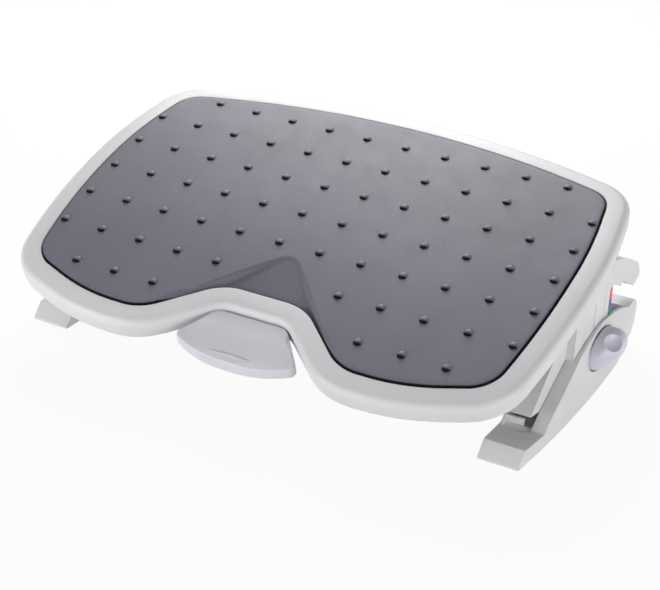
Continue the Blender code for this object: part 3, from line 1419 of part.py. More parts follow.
def pad_outline(side, share, grow=0):
    middle_x = side * (LEG_INNER_X + LEG_OUTER_X) / 2
    middle_y = LEG_FRONT_Y + share * LEG_LENGTH + PAD_LENGTH / 4
    a, b = PAD_WIDTH / 2 + grow, PAD_LENGTH / 2 + grow
    return rounded_outline(
        [
            (middle_x - a, middle_y - b, PAD_FILLET),
            (middle_x + a, middle_y - b, PAD_FILLET),
            (middle_x + a, middle_y + b, PAD_FILLET),
            (middle_x - a, middle_y + b, PAD_FILLET),
        ]
    )


def make_base():
    for side in (-1, 1):
        make_leg(side)
        make_button(side)
    reach = LEG_INNER_X + LEG_WALL / 2 - CLEARANCE
    section = (CROSS_TUBE_RADIUS, CROSS_TUBE_WALL)
    for which in CROSS_TUBE_SHARES:
        piece = tube(which + "_cross_tube", tube_place(which), *section, -reach, reach, 24)
        dress(piece, "zinc_steel", "base")


def button_ring(x, size, lean, grow=0, sides=32):
    """An elliptic ring round the button at a place on X."""
    y = LATCH_Y + lean * BUTTON_LEAN_Y
    z = BUTTON_Z + lean * BUTTON_LEAN_Z
    along = size * BUTTON_HALF_LENGTH + grow
    up = size * BUTTON_HALF_HEIGHT + grow
    angles = [2 * math.pi * k / sides for k in range(sides)]
    return [(x, y + along * math.cos(angle), z + up * math.sin(angle)) for angle in angles]


def make_button(side):
    """A hollow height button with its latch pin, spring and the plate that closes its stem hole."""
    stem = (LATCH_Y, STEM_Z)
    latch = (LATCH_Y, LATCH_Z)
    plate_inner = CHANNEL_OUTER_X + CLEARANCE
    plate_outer = plate_inner + LATCH_PLATE
    plate = rod(
        side_name(side, "latch_plate"),
        stem,
        LATCH_PLATE_RADIUS,
        side * plate_inner,
        side * plate_outer,
        sides=24,
    )
    hole = rod(
        "hole",
        latch,
        LATCH_NECK_RADIUS + LATCH_PLAY,
        side * (plate_inner - OVERRUN),
        side * (plate_outer + OVERRUN),
        sides=12,
    )
    dress(cut(plate, hole), "zinc_steel", "base")
    rings = [
        button_ring(side * (BUTTON_BASE_X + height * BUTTON_HEIGHT), size, lean)
        for height, size, lean in BUTTON_RING_SHARES
    ]
    body = loft(side_name(side, "height_button"), rings)
    stem_end = side * (BUTTON_BASE_X - STEM_LENGTH)
    body = join(
        body, rod("stem", stem, STEM_RADIUS, stem_end, side * (BUTTON_BASE_X + OVERRUN), sides=24)
    )
    bore_end = BUTTON_BASE_X + BUTTON_BORE_DEPTH
    bore = rod(
        "bore", stem, STEM_RADIUS - BUTTON_WALL, stem_end - side * OVERRUN, side * bore_end, sides=24
    )
    facing = Vector(DIMPLE_FACING).normalized()
    facing.x *= side
    along, back, up = DIMPLE_SHARES
    surface = Vector(
        (
            side * (BUTTON_BASE_X + along * BUTTON_HEIGHT),
            LATCH_Y + back * BUTTON_HALF_LENGTH,
            BUTTON_Z + up * BUTTON_HALF_HEIGHT,
        )
    )
    centre = surface + facing * (DIMPLE_RADIUS - DIMPLE_DEPTH)
    dimple = ball("dimple", centre, (DIMPLE_RADIUS,) * 3, 24, 16)
    dress(cut(body, bore, dimple), "button_plastic", side_name(side, "button"))
    head_inner = side * (BRACKET_OUTER_X - BRACKET_SKIN - CLEARANCE)
    head_outer = side * (BRACKET_OUTER_X - BRACKET_SKIN + BUTTON_TRAVEL - 2 * CLEARANCE)
    pin = rod(side_name(side, "latch_pin"), latch, LATCH_PIN_RADIUS, head_inner, head_outer, sides=12)
    neck = rod(
        "neck",
        latch,
        LATCH_NECK_RADIUS,
        head_outer - side * CLEARANCE,
        side * (bore_end - CLEARANCE),
        sides=12,
    )
    dress(join(pin, neck), "zinc_steel", side_name(side, "button"))
    low = plate_outer + CLEARANCE + BUTTON_SPRING_WIRE / 2
    high = bore_end - CLEARANCE - BUTTON_SPRING_WIRE / 2
    coil_z = STEM_Z - LATCH_NECK_RADIUS
    points = [
        Vector((side * p.z, LATCH_Y + p.x, coil_z + p.y))
        for p in coil_points(BUTTON_SPRING_RADIUS, low, high, 4)
    ]
    dress(wire(side_name(side, "button_spring"), points, BUTTON_SPRING_WIRE), "spring_steel", "base")


# Assembly


def side_name(side, word):
    return ("right_" if side > 0 else "left_") + word


def new_empty(name, parent, place):
    """An empty on a joint's axis, which its pieces are parented to."""
    empty = bpy.data.objects.new(name, None)
    empty.empty_display_size = LEG_HEIGHT
    PARTS.objects.link(empty)
    empty.parent = parent
    empty.location = place
    return empty


def make_empties():
    """One empty for each body. Each also keeps the place of its working frame's origin."""
    origin = new_empty("footrest_origin", None, (0, BODY_SHIFT_Y, 0))
    pivot = Vector((0, PIVOT_Y, PIVOT_Z))
    carriage = new_empty("carriage_slide_axis", origin, pivot)
    tilt = new_empty("tilt_axis", carriage, (0, 0, 0))
    tilt.rotation_euler = (TILT, 0, 0)
    centre = Vector((0, -PIVOT_SETBACK, PIVOT_DEPTH))
    hinge = Vector((0, HINGE_Y, -HINGE_DEPTH))
    lock = Vector((0, LOCK_Y, LOCK_Z))
    bodies = {
        "base": (origin, Vector((0, 0, 0))),
        "carriage": (carriage, -pivot),
        "platform": (tilt, centre),
        "pedal": (new_empty("pedal_axis", tilt, centre + hinge), -hinge),
        "lock": (new_empty("lock_axis", tilt, centre + lock), -lock),
    }
    for side in (-1, 1):
        place = Vector((side * BUTTON_BASE_X, LATCH_Y, BUTTON_Z))
        axis = new_empty(side_name(side, "button_axis"), origin, place)
        bodies[side_name(side, "button")] = (axis, -place)
    return bodies


def dress(obj, material, body):
    """Gives a finished piece its material and its body, and moves it among the parts."""
    obj.data.materials.clear()
    obj.data.materials.append(finish(material))
    obj.data.shade_smooth()
    obj.data.set_sharp_from_angle(angle=math.radians(35))
    HELPERS.objects.unlink(obj)
    PARTS.objects.link(obj)
    obj.parent, obj.location = BODIES[body]
    return obj


clear_scene()
PARTS = new_collection("ergonomic_footrest")
HELPERS = new_collection("cutters")
HELPERS.hide_render = True
BODIES = make_empties()

make_base()
make_carriage()
make_tray()
make_mat()
for saddle_side in (-1, 1):
    make_saddle(saddle_side)
make_pedal()
make_lock()
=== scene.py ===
import json
import math

import bmesh
import bpy
from mathutils import Matrix, Vector
from mathutils.geometry import delaunay_2d_cdt


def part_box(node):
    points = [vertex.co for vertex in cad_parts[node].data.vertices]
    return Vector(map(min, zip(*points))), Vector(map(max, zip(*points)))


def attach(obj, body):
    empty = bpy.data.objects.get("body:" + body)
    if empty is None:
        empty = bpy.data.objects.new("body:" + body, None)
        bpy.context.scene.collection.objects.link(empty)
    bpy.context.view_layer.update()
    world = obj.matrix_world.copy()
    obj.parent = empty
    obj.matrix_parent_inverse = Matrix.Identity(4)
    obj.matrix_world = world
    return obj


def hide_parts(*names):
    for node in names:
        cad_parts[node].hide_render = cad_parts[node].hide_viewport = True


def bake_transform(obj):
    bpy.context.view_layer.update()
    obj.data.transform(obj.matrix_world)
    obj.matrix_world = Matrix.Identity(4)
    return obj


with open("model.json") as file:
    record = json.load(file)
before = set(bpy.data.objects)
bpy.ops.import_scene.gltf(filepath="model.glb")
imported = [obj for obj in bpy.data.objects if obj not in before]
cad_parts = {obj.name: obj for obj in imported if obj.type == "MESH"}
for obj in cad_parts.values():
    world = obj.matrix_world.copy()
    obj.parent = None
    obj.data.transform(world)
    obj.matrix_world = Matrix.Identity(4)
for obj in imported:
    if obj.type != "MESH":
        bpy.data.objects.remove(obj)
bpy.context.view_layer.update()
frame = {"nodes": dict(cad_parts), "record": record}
NODES = frame["nodes"]
RECORD = frame["record"]
JOINTS = {joint["name"]: joint for joint in RECORD["behaviour"]["joints"]}
BODY_OF = {node: body for body, nodes in RECORD["behaviour"]["bodies"].items() for node in nodes}
SLOT_OF = {part["node"]: part["material_slot"] for part in RECORD["subparts"]}
MM = 0.001
SIDES = (("left", -1), ("right", 1))

# Platform outline, as in the solids: sizes first, then shares of half width, of the front or
# back reach, and of the shorter side for the corner's curve
HALF_WIDTH = 276.5 * MM
FRONT_REACH = 189 * MM
BACK_REACH = 193 * MM
NOTCH_DEPTH = 54.5 * MM
NOTCH_HALF_WIDTH = 35 * MM
NOTCH_FLARE = 62 * MM
NOTCH_CURVE_SHARE = 0.162
LOBE_CURVE_SHARE = 0.363
LOBE_SHARES = (0.622, 1.0, 0.53)
FRONT_CORNER_SHARES = (0.948, 0.83, 0.365)
SIDE_FRONT_SHARES = (1.0, 0.328, 0.628)
SIDE_BACK_SHARES = (1.0, 0.285, 0.451)
BACK_CORNER_SHARES = (0.933, 0.803, 0.325)
BACK_SHARES = (0.407, 1.0, 0.735)
CURVE_STEP = math.radians(4)
CURVE_EDGE = 9 * MM

# Deck: where the middle of the dots lies behind and above the tilt pivot
TILT = math.radians(16.2)
PIVOT_SETBACK = 24.3 * MM
PIVOT_DEPTH = 30.9 * MM
CROWN_RADIUS = 1600 * MM

# Rim
RIM_BAND = 21.5 * MM
RIM_ROUND = 7 * MM
RIM_FALL = 0.7 * MM
RIM_LIP = 1.5 * MM
RIM_TOP = -1.5 * MM
SKIRT_DEPTH = 21 * MM
SKIRT_DRAFT = 1 * MM
SKIN = 0.15 * MM
SKIN_WALL = 1.6 * MM
LIP_STEPS = 4
ROLL_STEPS = 10
FOOT_STEPS = 4

# Mat, scoop and dots
MAT_THICKNESS = 4.5 * MM
MAT_GAP = 1 * MM
MAT_EDGE = 2.3 * MM
MAT_CELL = 4 * MM
WALL_CELL = 1.3 * MM
SCOOP_START = 52 * MM
SCOOP_LENGTH = 123 * MM
SCOOP_HALF_WIDTH = 107 * MM
SCOOP_DROP = 7 * MM
SCOOP_TIP = 20 * MM
SCOOP_WALL_RUN = 4.5 * MM
SCOOP_WALL_SHIFT = 0.25
MAT_EDGE_STEPS = 4
SHEET_TOLERANCE = MM / 100
DOT_RADIUS = 4.5 * MM
DOT_HEIGHT = 2.3 * MM
DOT_PITCH_X = 43.75 * MM
DOT_PITCH_Y = 45.07 * MM
DOT_SEGMENTS = 24
DOT_RINGS = 12
# The dark that the photo shows on the dots' front sides is painted in as colour, by how far each
# side leans to the front
SHADE_GAIN = 4
SHADE_OFFSET = 0.5
# Which columns, counted outwards from the middle, each row holds, from the back row forward
DOT_ROWS = (
    (3, (0, 1, 2, 3, 4)),
    (2, (0, 1, 2, 3, 4, 5)),
    (1, (0, 1, 2, 3, 4, 5)),
    (0, (0, 1, 2, 3, 4, 5)),
    (-1, (0, 1, 2, 3, 4, 5)),
    (-2, (1, 2, 3, 4, 5)),
    (-3, (2, 3, 4)),
)

# Pedal, in the deck's own frame
PEDAL_TOP = -7.5 * MM
PEDAL_THICKNESS = 14.5 * MM
PEDAL_GAP = 2.5 * MM
PEDAL_WALL = 2.6 * MM
PEDAL_BACK_HALF = 36 * MM
PEDAL_FLARE = 29.5 * MM
PEDAL_LENGTH = 52.5 * MM
PEDAL_SWEEP = 16.5 * MM
PEDAL_FRONT_RADIUS = 112 * MM
PEDAL_CORNER_RADIUS = 6 * MM
PEDAL_BACK_RADIUS = 14 * MM
PEDAL_ROUND = 1.8 * MM
PEDAL_SKIN = 0.2 * MM
PEDAL_CELL = 1.6 * MM
TREAD_RADIUS = 62 * MM
TREAD_DEPTH = 4.5 * MM
TREAD_SETBACK = 15 * MM
TREAD_CREASE = 0.25 * MM
GRIP_SETBACK = 8.5 * MM
GRIP_HALF_LENGTH = 26 * MM
GRIP_HALF_WIDTH = 4.8 * MM
GRIP_CELL = 0.5 * MM
PEDAL_EDGE_STEPS = 6
# Height of the grip across its width, from its front edge to its rear one
GRIP_PROFILE = ((-1.0, 0.0), (-0.15, 1.9 * MM), (0.56, -1.3 * MM), (0.98, 0.0))

# Mouldings: facets within one angle of each other join, and edges from another on are rounded
WELD = MM / 1000
FLAT_WITHIN = math.radians(0.5)
BEVEL_FROM = math.radians(32)
BEVEL_SEGMENTS = 2
MOULDING_SHARP = 38
# Edge radius, subdivision levels and the angle in degrees from which an edge stays sharp
SOFTENED = {
    "leg": (1.0 * MM, 1, 18),
    "height_bracket": (0.5 * MM, 2, 44),
    "pivot_saddle": (0.6 * MM, 1, 18),
    "lock_cam": (0.5 * MM, 1, 18),
}

# Height buttons
BUTTON_HALF_LENGTH = 31.6 * MM
BUTTON_HALF_HEIGHT = 19.3 * MM
BUTTON_HEIGHT = 22.9 * MM
BUTTON_LEAN_Y = 2.2 * MM
BUTTON_LEAN_Z = 5.8 * MM
BUTTON_BORE_DEPTH = 9 * MM
BUTTON_WALL = 2 * MM
STEM_RADIUS = 10.5 * MM
STEM_DROP = 0.9 * MM
DIMPLE_RADIUS = 15 * MM
DIMPLE_DEPTH = 5 * MM
DIMPLE_SHARES = (0.67, -0.26, 0.87)
DIMPLE_FACING = (0.6, -0.5, 0.62)
DIMPLE_SEGMENTS = 64
DIMPLE_RINGS = 40
BUTTON_SIDES = 72
DOME_CURVE_STEPS = 5
# Height above the base, size and lean of each ring of the dome, as shares
DOME_SHARES = (
    (0.0, 1.0, 0.0),
    (0.2, 0.96, 0.15),
    (0.45, 0.87, 0.5),
    (0.65, 0.74, 0.75),
    (0.8, 0.6, 0.9),
    (0.92, 0.43, 0.97),
    (0.985, 0.22, 1.0),
    (1.0, 0.0, 1.0),
)

# Springs
COIL_STEPS = 24
WIRE_SIDES = 12
# Any direction that no wire starts along
WIRE_FIRST_ACROSS = (0.3, 0.5, 0.8)
PEDAL_SPRING_WIRE = 1.3 * MM
PEDAL_SPRING_TURNS = 4.5
BUTTON_SPRING_WIRE = 1.1 * MM
BUTTON_SPRING_TURNS = 4
LOCK_SPRING_WIRE = 1.4 * MM
LOCK_SPRING_RADIUS = 6.4 * MM
LOCK_SPRING_TURNS = 4
LOCK_SPRING_CLEARANCE = 0.3 * MM
RELEASE_BAR_BACK = 17 * MM
RELEASE_BAR_DROP = 9 * MM
RELEASE_BAR_RADIUS = 3 * MM

# The photograph's camera, in the row frame
PHOTO_WIDTH = 660
FOCAL_PIXELS = 1802
AZIMUTH = math.radians(27.85)
ELEVATION = math.radians(27.26)
ROLL = math.radians(2.28)
CAMERA_PLACE = Vector((743.2, -1393.2, 865.0)) * MM

# Studio: the world's light is strongest at the horizon and fades up to a height
FLOOR_REACH = 6.0
FLOOR_LEVEL = -0.1 * MM
FLOOR_WHITE_SHARE = 0.93
WORLD_HORIZON = 0.9
WORLD_OVERHEAD = 0.08
WORLD_FADE_HEIGHT = 0.5
# Each light's name, place, aim, size in metres and power in watts
LIGHTS = (
    ("key_light", (-0.5, 0.95, 0.95), (-0.1, 0.1, 0.15), 0.9, 17.5),
    ("front_right_light", (2.1, -0.6, 0.3), (0, 0, 0.1), 1.8, 32),
    ("front_left_light", (-1.2, -1.7, 0.45), (0, 0, 0.1), 1.6, 30),
)


# Materials


def colour(code):
    """Linear colour of an sRGB hex code."""
    channels = [int(code[i:i + 2], 16) / 255 for i in (1, 3, 5)]
    return (*[c / 12.92 if c <= 0.04045 else ((c + 0.055) / 1.055) ** 2.4 for c in channels], 1)


class Surface:
    """A node material that is built up step by step around one Principled shader."""

    def __init__(self, name, roughness=0.5, metallic=0.0):
        self.material = bpy.data.materials.new(name)
        self.material.use_nodes = True
        self.tree = self.material.node_tree
        self.shader = self.tree.nodes["Principled BSDF"]
        self.shader.inputs["Roughness"].default_value = roughness
        self.shader.inputs["Metallic"].default_value = metallic
        self.place = self.node("ShaderNodeTexCoord").outputs["Object"]

    def node(self, kind, inputs=None, **settings):
        """Adds a node, sets its properties, and fills its inputs with values or links."""
        made = self.tree.nodes.new(kind)
        for key, value in settings.items():
            setattr(made, key, value)
        for key, value in (inputs or {}).items():
            if isinstance(value, bpy.types.NodeSocket):
                self.tree.links.new(value, made.inputs[key])
            else:
                made.inputs[key].default_value = value
        return made

    def noise(self, scale, detail=2.0, roughness=0.5):
        """A noise pattern in the piece's own coordinates."""
        fields = {"Vector": self.place, "Scale": scale, "Detail": detail, "Roughness": roughness}
        return self.node("ShaderNodeTexNoise", fields).outputs["Fac"]

    def ramp(self, factor, *stops, interpolation="LINEAR"):
        """A colour ramp through stops of (position, hex code)."""
        made = self.node("ShaderNodeValToRGB", {"Fac": factor})
        made.color_ramp.interpolation = interpolation
        elements = made.color_ramp.elements
        while len(elements) < len(stops):
            elements.new(1)
        for element, (position, code) in zip(elements, stops):
            element.position = position
            element.color = colour(code)
        return made.outputs["Color"]

    def spread(self, factor, low, high, start=0.0, end=1.0):
        """A value from start to end, spread from low to high."""
        fields = {"Value": factor, "From Min": start, "From Max": end, "To Min": low, "To Max": high}
        return self.node("ShaderNodeMapRange", fields).outputs["Result"]

    def mix(self, factor, first, second):
        """Two colours mixed by a factor."""
        made = self.node("ShaderNodeMix", data_type="RGBA")
        colours = [socket for socket in made.inputs if socket.type == "RGBA"]
        self.tree.links.new(factor, made.inputs[0])
        for socket, value in zip(colours, (first, second)):
            self.tree.links.new(value, socket)
        return [socket for socket in made.outputs if socket.type == "RGBA"][0]

    def bump(self, height, distance, strength, after=None):
        """A normal bent by a height, on top of another bump's normal if one is given."""
        fields = {"Height": height, "Distance": distance, "Strength": strength}
        if after is not None:
            fields["Normal"] = after
        return self.node("ShaderNodeBump", fields).outputs["Normal"]

    def set(self, socket, source):
        """Links a value to one of the shader's inputs."""
        self.tree.links.new(source, self.shader.inputs[socket])


def moulded(name, dark, light, roughness):
    """Moulded plastic: a fine spark-eroded grain and a faint uneven sheen."""
    grain_scale = 2200
    grain_depth = 0.04 * MM
    surface = Surface(name)
    surface.set("Base Color", surface.ramp(surface.noise(9), (0.3, dark), (0.7, light)))
    surface.set("Roughness", surface.spread(surface.noise(30), roughness - 0.05, roughness + 0.05))
    surface.set("Normal", surface.bump(surface.noise(grain_scale, 3), grain_depth, 0.5))
    return surface.material


def mat_rubber(name):
    """Soft moulded rubber with a pebbled grain, and painted shade: near black where its shade attribute
    says so.
    """
    broad_share = 0.45
    surface = Surface(name)
    grain = surface.noise(1100, 3, 0.6)
    fine = surface.ramp(grain, (0.3, "#5d5966"), (0.52, "#706d7a"), (0.75, "#85828f"))
    broad = surface.ramp(surface.noise(7, 3), (0.3, "#64616d"), (0.7, "#787582"))
    blend = surface.node("ShaderNodeValue")
    blend.outputs[0].default_value = broad_share
    unshaded_rubber = surface.mix(blend.outputs[0], fine, broad)
    # Painted shade: the shade attribute mixes in a near-black colour and lowers the gloss, on the dots'
    # front sides and the mat's edge
    shade = surface.node("ShaderNodeAttribute", attribute_name="shade").outputs["Fac"]
    dark = surface.ramp(grain, (0.3, "#09080c"), (0.75, "#131217"))
    surface.set("Base Color", surface.mix(shade, unshaded_rubber, dark))
    surface.set("Roughness", surface.spread(surface.noise(45), 0.5, 0.62))
    surface.set("Specular IOR Level", surface.spread(shade, 0.5, 0.1))
    leather = surface.bump(surface.noise(420, 2, 0.5), 0.12 * MM, 0.35)
    surface.set("Normal", surface.bump(grain, 0.12 * MM, 0.6, leather))
    return surface.material


def pad_rubber(name):
    """Black foot pad rubber with a dull moulded grain."""
    surface = Surface(name)
    mottle = surface.noise(300, 4, 0.7)
    surface.set("Base Color", surface.ramp(mottle, (0.3, "#1a1a1b"), (0.7, "#262628")))
    surface.set("Roughness", surface.spread(surface.noise(60), 0.78, 0.9))
    surface.set("Normal", surface.bump(surface.noise(900, 4, 0.7), 0.08 * MM, 0.6))
    return surface.material


def steel(name, dark, light, roughness):
    """Plated or drawn steel with faint uneven brightness."""
    surface = Surface(name, metallic=1.0)
    surface.set("Base Color", surface.ramp(surface.noise(40, 3), (0.3, dark), (0.7, light)))
    surface.set("Roughness", surface.spread(surface.noise(120), roughness - 0.08, roughness + 0.08))
    surface.set("Normal", surface.bump(surface.noise(1500), 0.01 * MM, 0.4))
    return surface.material


def banded_label(name, node, bands):
    """A printed label with bands of colour, whose shares count from the top down."""
    low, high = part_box(node)
    surface = Surface(name, roughness=0.45)
    height = surface.node("ShaderNodeSeparateXYZ", {"Vector": surface.place}).outputs["Z"]
    share = surface.spread(height, 0, 1, high.z, low.z)
    surface.set("Base Color", surface.ramp(share, *bands, interpolation="CONSTANT"))
    surface.set("Normal", surface.bump(surface.noise(1800), 0.01 * MM, 0.3))
    return surface.material


MATERIALS = {
    "light_grey_plastic": moulded("moulded_polypropylene_light_grey", "#d3d4d5", "#dbdcdd", 0.46),
    "leg_plastic": moulded("moulded_abs_light_grey", "#d4d4d5", "#dcdcdd", 0.48),
    "pedal_plastic": moulded("moulded_abs_pedal_grey", "#d2d2d9", "#dadae1", 0.38),
    "button_plastic": moulded("moulded_abs_bluish_grey", "#c6c6d3", "#cecedb", 0.32),
    "mat_rubber": mat_rubber("thermoplastic_rubber_mat_grey"),
    "pad_rubber": pad_rubber("foot_pad_rubber_black"),
    "zinc_steel": steel("zinc_plated_steel", "#a9acb0", "#bfc2c5", 0.35),
    "spring_steel": steel("drawn_spring_steel_wire", "#8e9094", "#a5a7ab", 0.3),
    "scale_label": banded_label(
        "printed_scale_label", "right_height_scale",
        ((0.0, "#f0323c"), (0.445, "#3a3aa0"), (0.8, "#00a060")),
    ),
    "dark_plastic": moulded("moulded_acetal_dark_grey", "#2b2b2e", "#333337", 0.5),
}

for node_name, slot_name in SLOT_OF.items():
    NODES[node_name].data.materials.clear()
    NODES[node_name].data.materials.append(MATERIALS[slot_name])


# Pieces


def linked(name, data):
    """An object that holds this data, put in the scene."""
    made = bpy.data.objects.new(name, data)
    bpy.context.scene.collection.objects.link(made)
    return made


def new_object(name, shape):
    """An object that holds a bmesh."""
    mesh = bpy.data.meshes.new(name)
    shape.to_mesh(mesh)
    shape.free()
    return linked(name, mesh)


def plain(obj):
    """Replaces an object's modifiers with the mesh that they make."""
    bpy.context.view_layer.update()
    graph = bpy.context.evaluated_depsgraph_get()
    mesh = bpy.data.meshes.new_from_object(obj.evaluated_get(graph))
    obj.modifiers.clear()
    obj.data = mesh
    return obj


def dressed(obj, *nodes, body=None, slot=None, sharp=40, rides=True):
    """Gives a finished piece its shading, material and body, and hides the nodes that it stands for."""
    slot = slot or SLOT_OF[nodes[0]]
    obj.data.materials.clear()
    obj.data.materials.append(MATERIALS[slot])
    obj.data.shade_smooth()
    obj.data.set_sharp_from_angle(angle=math.radians(sharp))
    if rides:
        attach(obj, body or BODY_OF[nodes[0]])
    if nodes:
        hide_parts(*nodes)
    return obj


def strips(shape, loops, turned=False):
    """Faces between each two loops that follow each other, facing the other way if turned."""
    made = []
    for first, second in zip(loops, loops[1:]):
        for k in range(len(first)):
            j = (k + 1) % len(first)
            corners = (first[k], first[j], second[j], second[k])
            if turned:
                corners = (first[k], second[k], second[j], first[j])
            made.append(shape.faces.new(corners))
    return made


def sheet_faces(border, places):
    """Flat places, and the faces over them inside a border, whose points are the first places."""
    count = len(border)
    sides = [(i, (i + 1) % count) for i in range(count)]
    flat, _, faces, *_ = delaunay_2d_cdt(places, sides, [], 1, SHEET_TOLERANCE)
    return flat, faces


# Platform: outline and crown


def rounded_outline(corners, inset):
    """Points round a closed outline of corners (x, y, curve radius), given anticlockwise."""
    count = len(corners)
    points = []
    for i, (x, y, radius) in enumerate(corners):
        here = Vector((x, y))
        before = (here - Vector(corners[i - 1][:2])).normalized()
        after = (Vector(corners[(i + 1) % count][:2]) - here).normalized()
        turn = math.atan2(before.cross(after), before.dot(after))
        side = 1 if turn > 0 else -1
        start = here - before * radius * math.tan(abs(turn) / 2)
        centre = start + side * radius * Vector((-before.y, before.x))
        spoke = (start - centre) * (radius - side * inset) / radius
        steps = math.ceil(max(abs(turn) / CURVE_STEP, radius * abs(turn) / CURVE_EDGE))
        for k in range(steps + 1):
            points.append(centre + Matrix.Rotation(turn * k / steps, 2) @ spoke)
    return points


def platform_outline(inset):
    """The platform's outline, or one that lies a little inside it with matching points."""
    half = [
        (NOTCH_HALF_WIDTH, NOTCH_DEPTH - FRONT_REACH, NOTCH_CURVE_SHARE),
        (NOTCH_HALF_WIDTH + NOTCH_FLARE, -FRONT_REACH, LOBE_CURVE_SHARE),
    ]
    for (across, along, share), reach in (
        (LOBE_SHARES, -FRONT_REACH),
        (FRONT_CORNER_SHARES, -FRONT_REACH),
        (SIDE_FRONT_SHARES, -FRONT_REACH),
        (SIDE_BACK_SHARES, BACK_REACH),
        (BACK_CORNER_SHARES, BACK_REACH),
        (BACK_SHARES, BACK_REACH),
    ):
        half.append((across * HALF_WIDTH, along * reach, share))
    corners = half + [(-x, y, share) for x, y, share in reversed(half)]
    sized = []
    for i, (x, y, share) in enumerate(corners):
        before = Vector((x, y)) - Vector(corners[i - 1][:2])
        after = Vector(corners[(i + 1) % len(corners)][:2]) - Vector((x, y))
        turn = abs(math.atan2(before.cross(after), before.dot(after)))
        sized.append((x, y, share * min(before.length, after.length) / math.tan(turn / 2)))
    return rounded_outline(sized, inset)


DECK = Matrix.Translation(Vector(JOINTS["tilt_hinge"]["pos_m"])) @ Matrix.Rotation(TILT, 4, "X")
DECK = DECK @ Matrix.Translation((0, -PIVOT_SETBACK, PIVOT_DEPTH))


def on_deck(x, y, z):
    """A place on the flat deck, bent to its crown and set in the row frame."""
    return DECK @ Vector((x, y, z - y * y / (2 * CROWN_RADIUS)))


def deck_normal(y):
    """The crowned deck's upward direction, a distance behind its middle."""
    return (DECK.to_3x3() @ Vector((0, y / CROWN_RADIUS, 1))).normalized()


def swept_ring(name, profile):
    """A closed profile of (inset, z) carried round the platform's outline."""
    shape = bmesh.new()
    loops = []
    for inset, z in profile:
        loops.append([shape.verts.new(on_deck(p.x, p.y, z)) for p in platform_outline(inset)])
    strips(shape, loops + loops[:1])
    bmesh.ops.recalc_face_normals(shape, faces=shape.faces)
    return new_object(name, shape)


def quarter(centre, radius, start, steps):
    """A quarter circle of (inset, z) points that turns from a start angle."""
    angles = [start + math.radians(90) * k / steps for k in range(steps + 1)]
    return [(centre[0] + radius * math.cos(a), centre[1] + radius * math.sin(a)) for a in angles]


def rim_profile():
    """The rolled rim: inner lip, top band, roll and skirt, closed by a path inside the wall."""
    lip = (RIM_BAND - RIM_LIP + SKIN, RIM_TOP - RIM_LIP + SKIN)
    roll = (RIM_ROUND, RIM_TOP - RIM_FALL - RIM_ROUND)
    outer = [(RIM_BAND + SKIN, -MAT_THICKNESS)]
    outer += quarter(lip, RIM_LIP, 0, LIP_STEPS)
    outer += quarter(roll, RIM_ROUND + SKIN, math.radians(90), ROLL_STEPS)
    foot = (SKIRT_DRAFT - SKIN + SKIN_WALL / 2, -SKIRT_DEPTH + SKIN_WALL / 2 - SKIN)
    outer += quarter(foot, SKIN_WALL / 2, math.radians(180), FOOT_STEPS)
    outer += [
        (SKIRT_DRAFT + SKIN_WALL, -SKIRT_DEPTH),
        (SKIRT_DRAFT + SKIN_WALL, roll[1]),
        (RIM_ROUND, RIM_TOP - RIM_FALL - SKIN_WALL),
        (RIM_BAND - SKIN_WALL, RIM_TOP - RIM_FALL - SKIN_WALL),
        (RIM_BAND - SKIN_WALL / 2, -MAT_THICKNESS),
    ]
    return outer


def make_rim():
    """The smooth outer skin of the tray's rim. The tray itself stays under it."""
    rim = swept_ring("platform_rim_skin", rim_profile())
    dressed(rim, body="platform", slot="light_grey_plastic", sharp=50)


# Mat with its scoop and dots


def scoop_depth_inside(x, y):
    """How far a place lies inside the scoop's two sides, which meet in a rounded tip."""
    flare = math.atan2(SCOOP_HALF_WIDTH, SCOOP_LENGTH)
    left = (-SCOOP_START - y) * math.sin(flare) + x * math.cos(flare)
    right = (-SCOOP_START - y) * math.sin(flare) - x * math.cos(flare)
    blend = max(SCOOP_TIP - abs(left - right), 0) / SCOOP_TIP
    return min(left, right) - blend * blend * SCOOP_TIP / 4


def scoop_drop(x, y):
    """Depth of the scoop: a floor that slopes down to the notch, with soft sides."""
    run = FRONT_REACH - NOTCH_DEPTH - SCOOP_START - RIM_BAND
    floor = max(SCOOP_DROP * (-SCOOP_START - y) / run, 0)
    share = min(max(scoop_depth_inside(x, y) / SCOOP_WALL_RUN + SCOOP_WALL_SHIFT, 0), 1)
    return floor * share * share * (3 - 2 * share)


def inside(outline, x, y):
    """Whether a place lies inside an outline, by counting the crossings of a ray."""
    hits = False
    for a, b in zip(outline, outline[1:] + outline[:1]):
        if (a.y > y) != (b.y > y) and x < (b.x - a.x) * (y - a.y) / (b.y - a.y) + a.x:
            hits = not hits
    return hits


def mat_places(border):
    """The border's points, a grid inside it, and a finer grid along the scoop's sides."""
    places = list(border)
    safe = platform_outline(RIM_BAND + MAT_GAP + MAT_EDGE + MAT_CELL / 2)
    for cell, fine in ((MAT_CELL, False), (WALL_CELL, True)):
        for i in range(-int(HALF_WIDTH / cell), int(HALF_WIDTH / cell) + 1):
            for j in range(-int(FRONT_REACH / cell), int(BACK_REACH / cell) + 1):
                x = i * cell
                y = j * cell + (i % 2) * cell / 2
                off_wall = scoop_depth_inside(x, y) - SCOOP_WALL_RUN * SCOOP_WALL_SHIFT
                near = abs(off_wall) < SCOOP_WALL_RUN and y < -SCOOP_START + SCOOP_TIP / 2
                if near == fine and inside(safe, x, y):
                    places.append(Vector((x, y)))
    return places


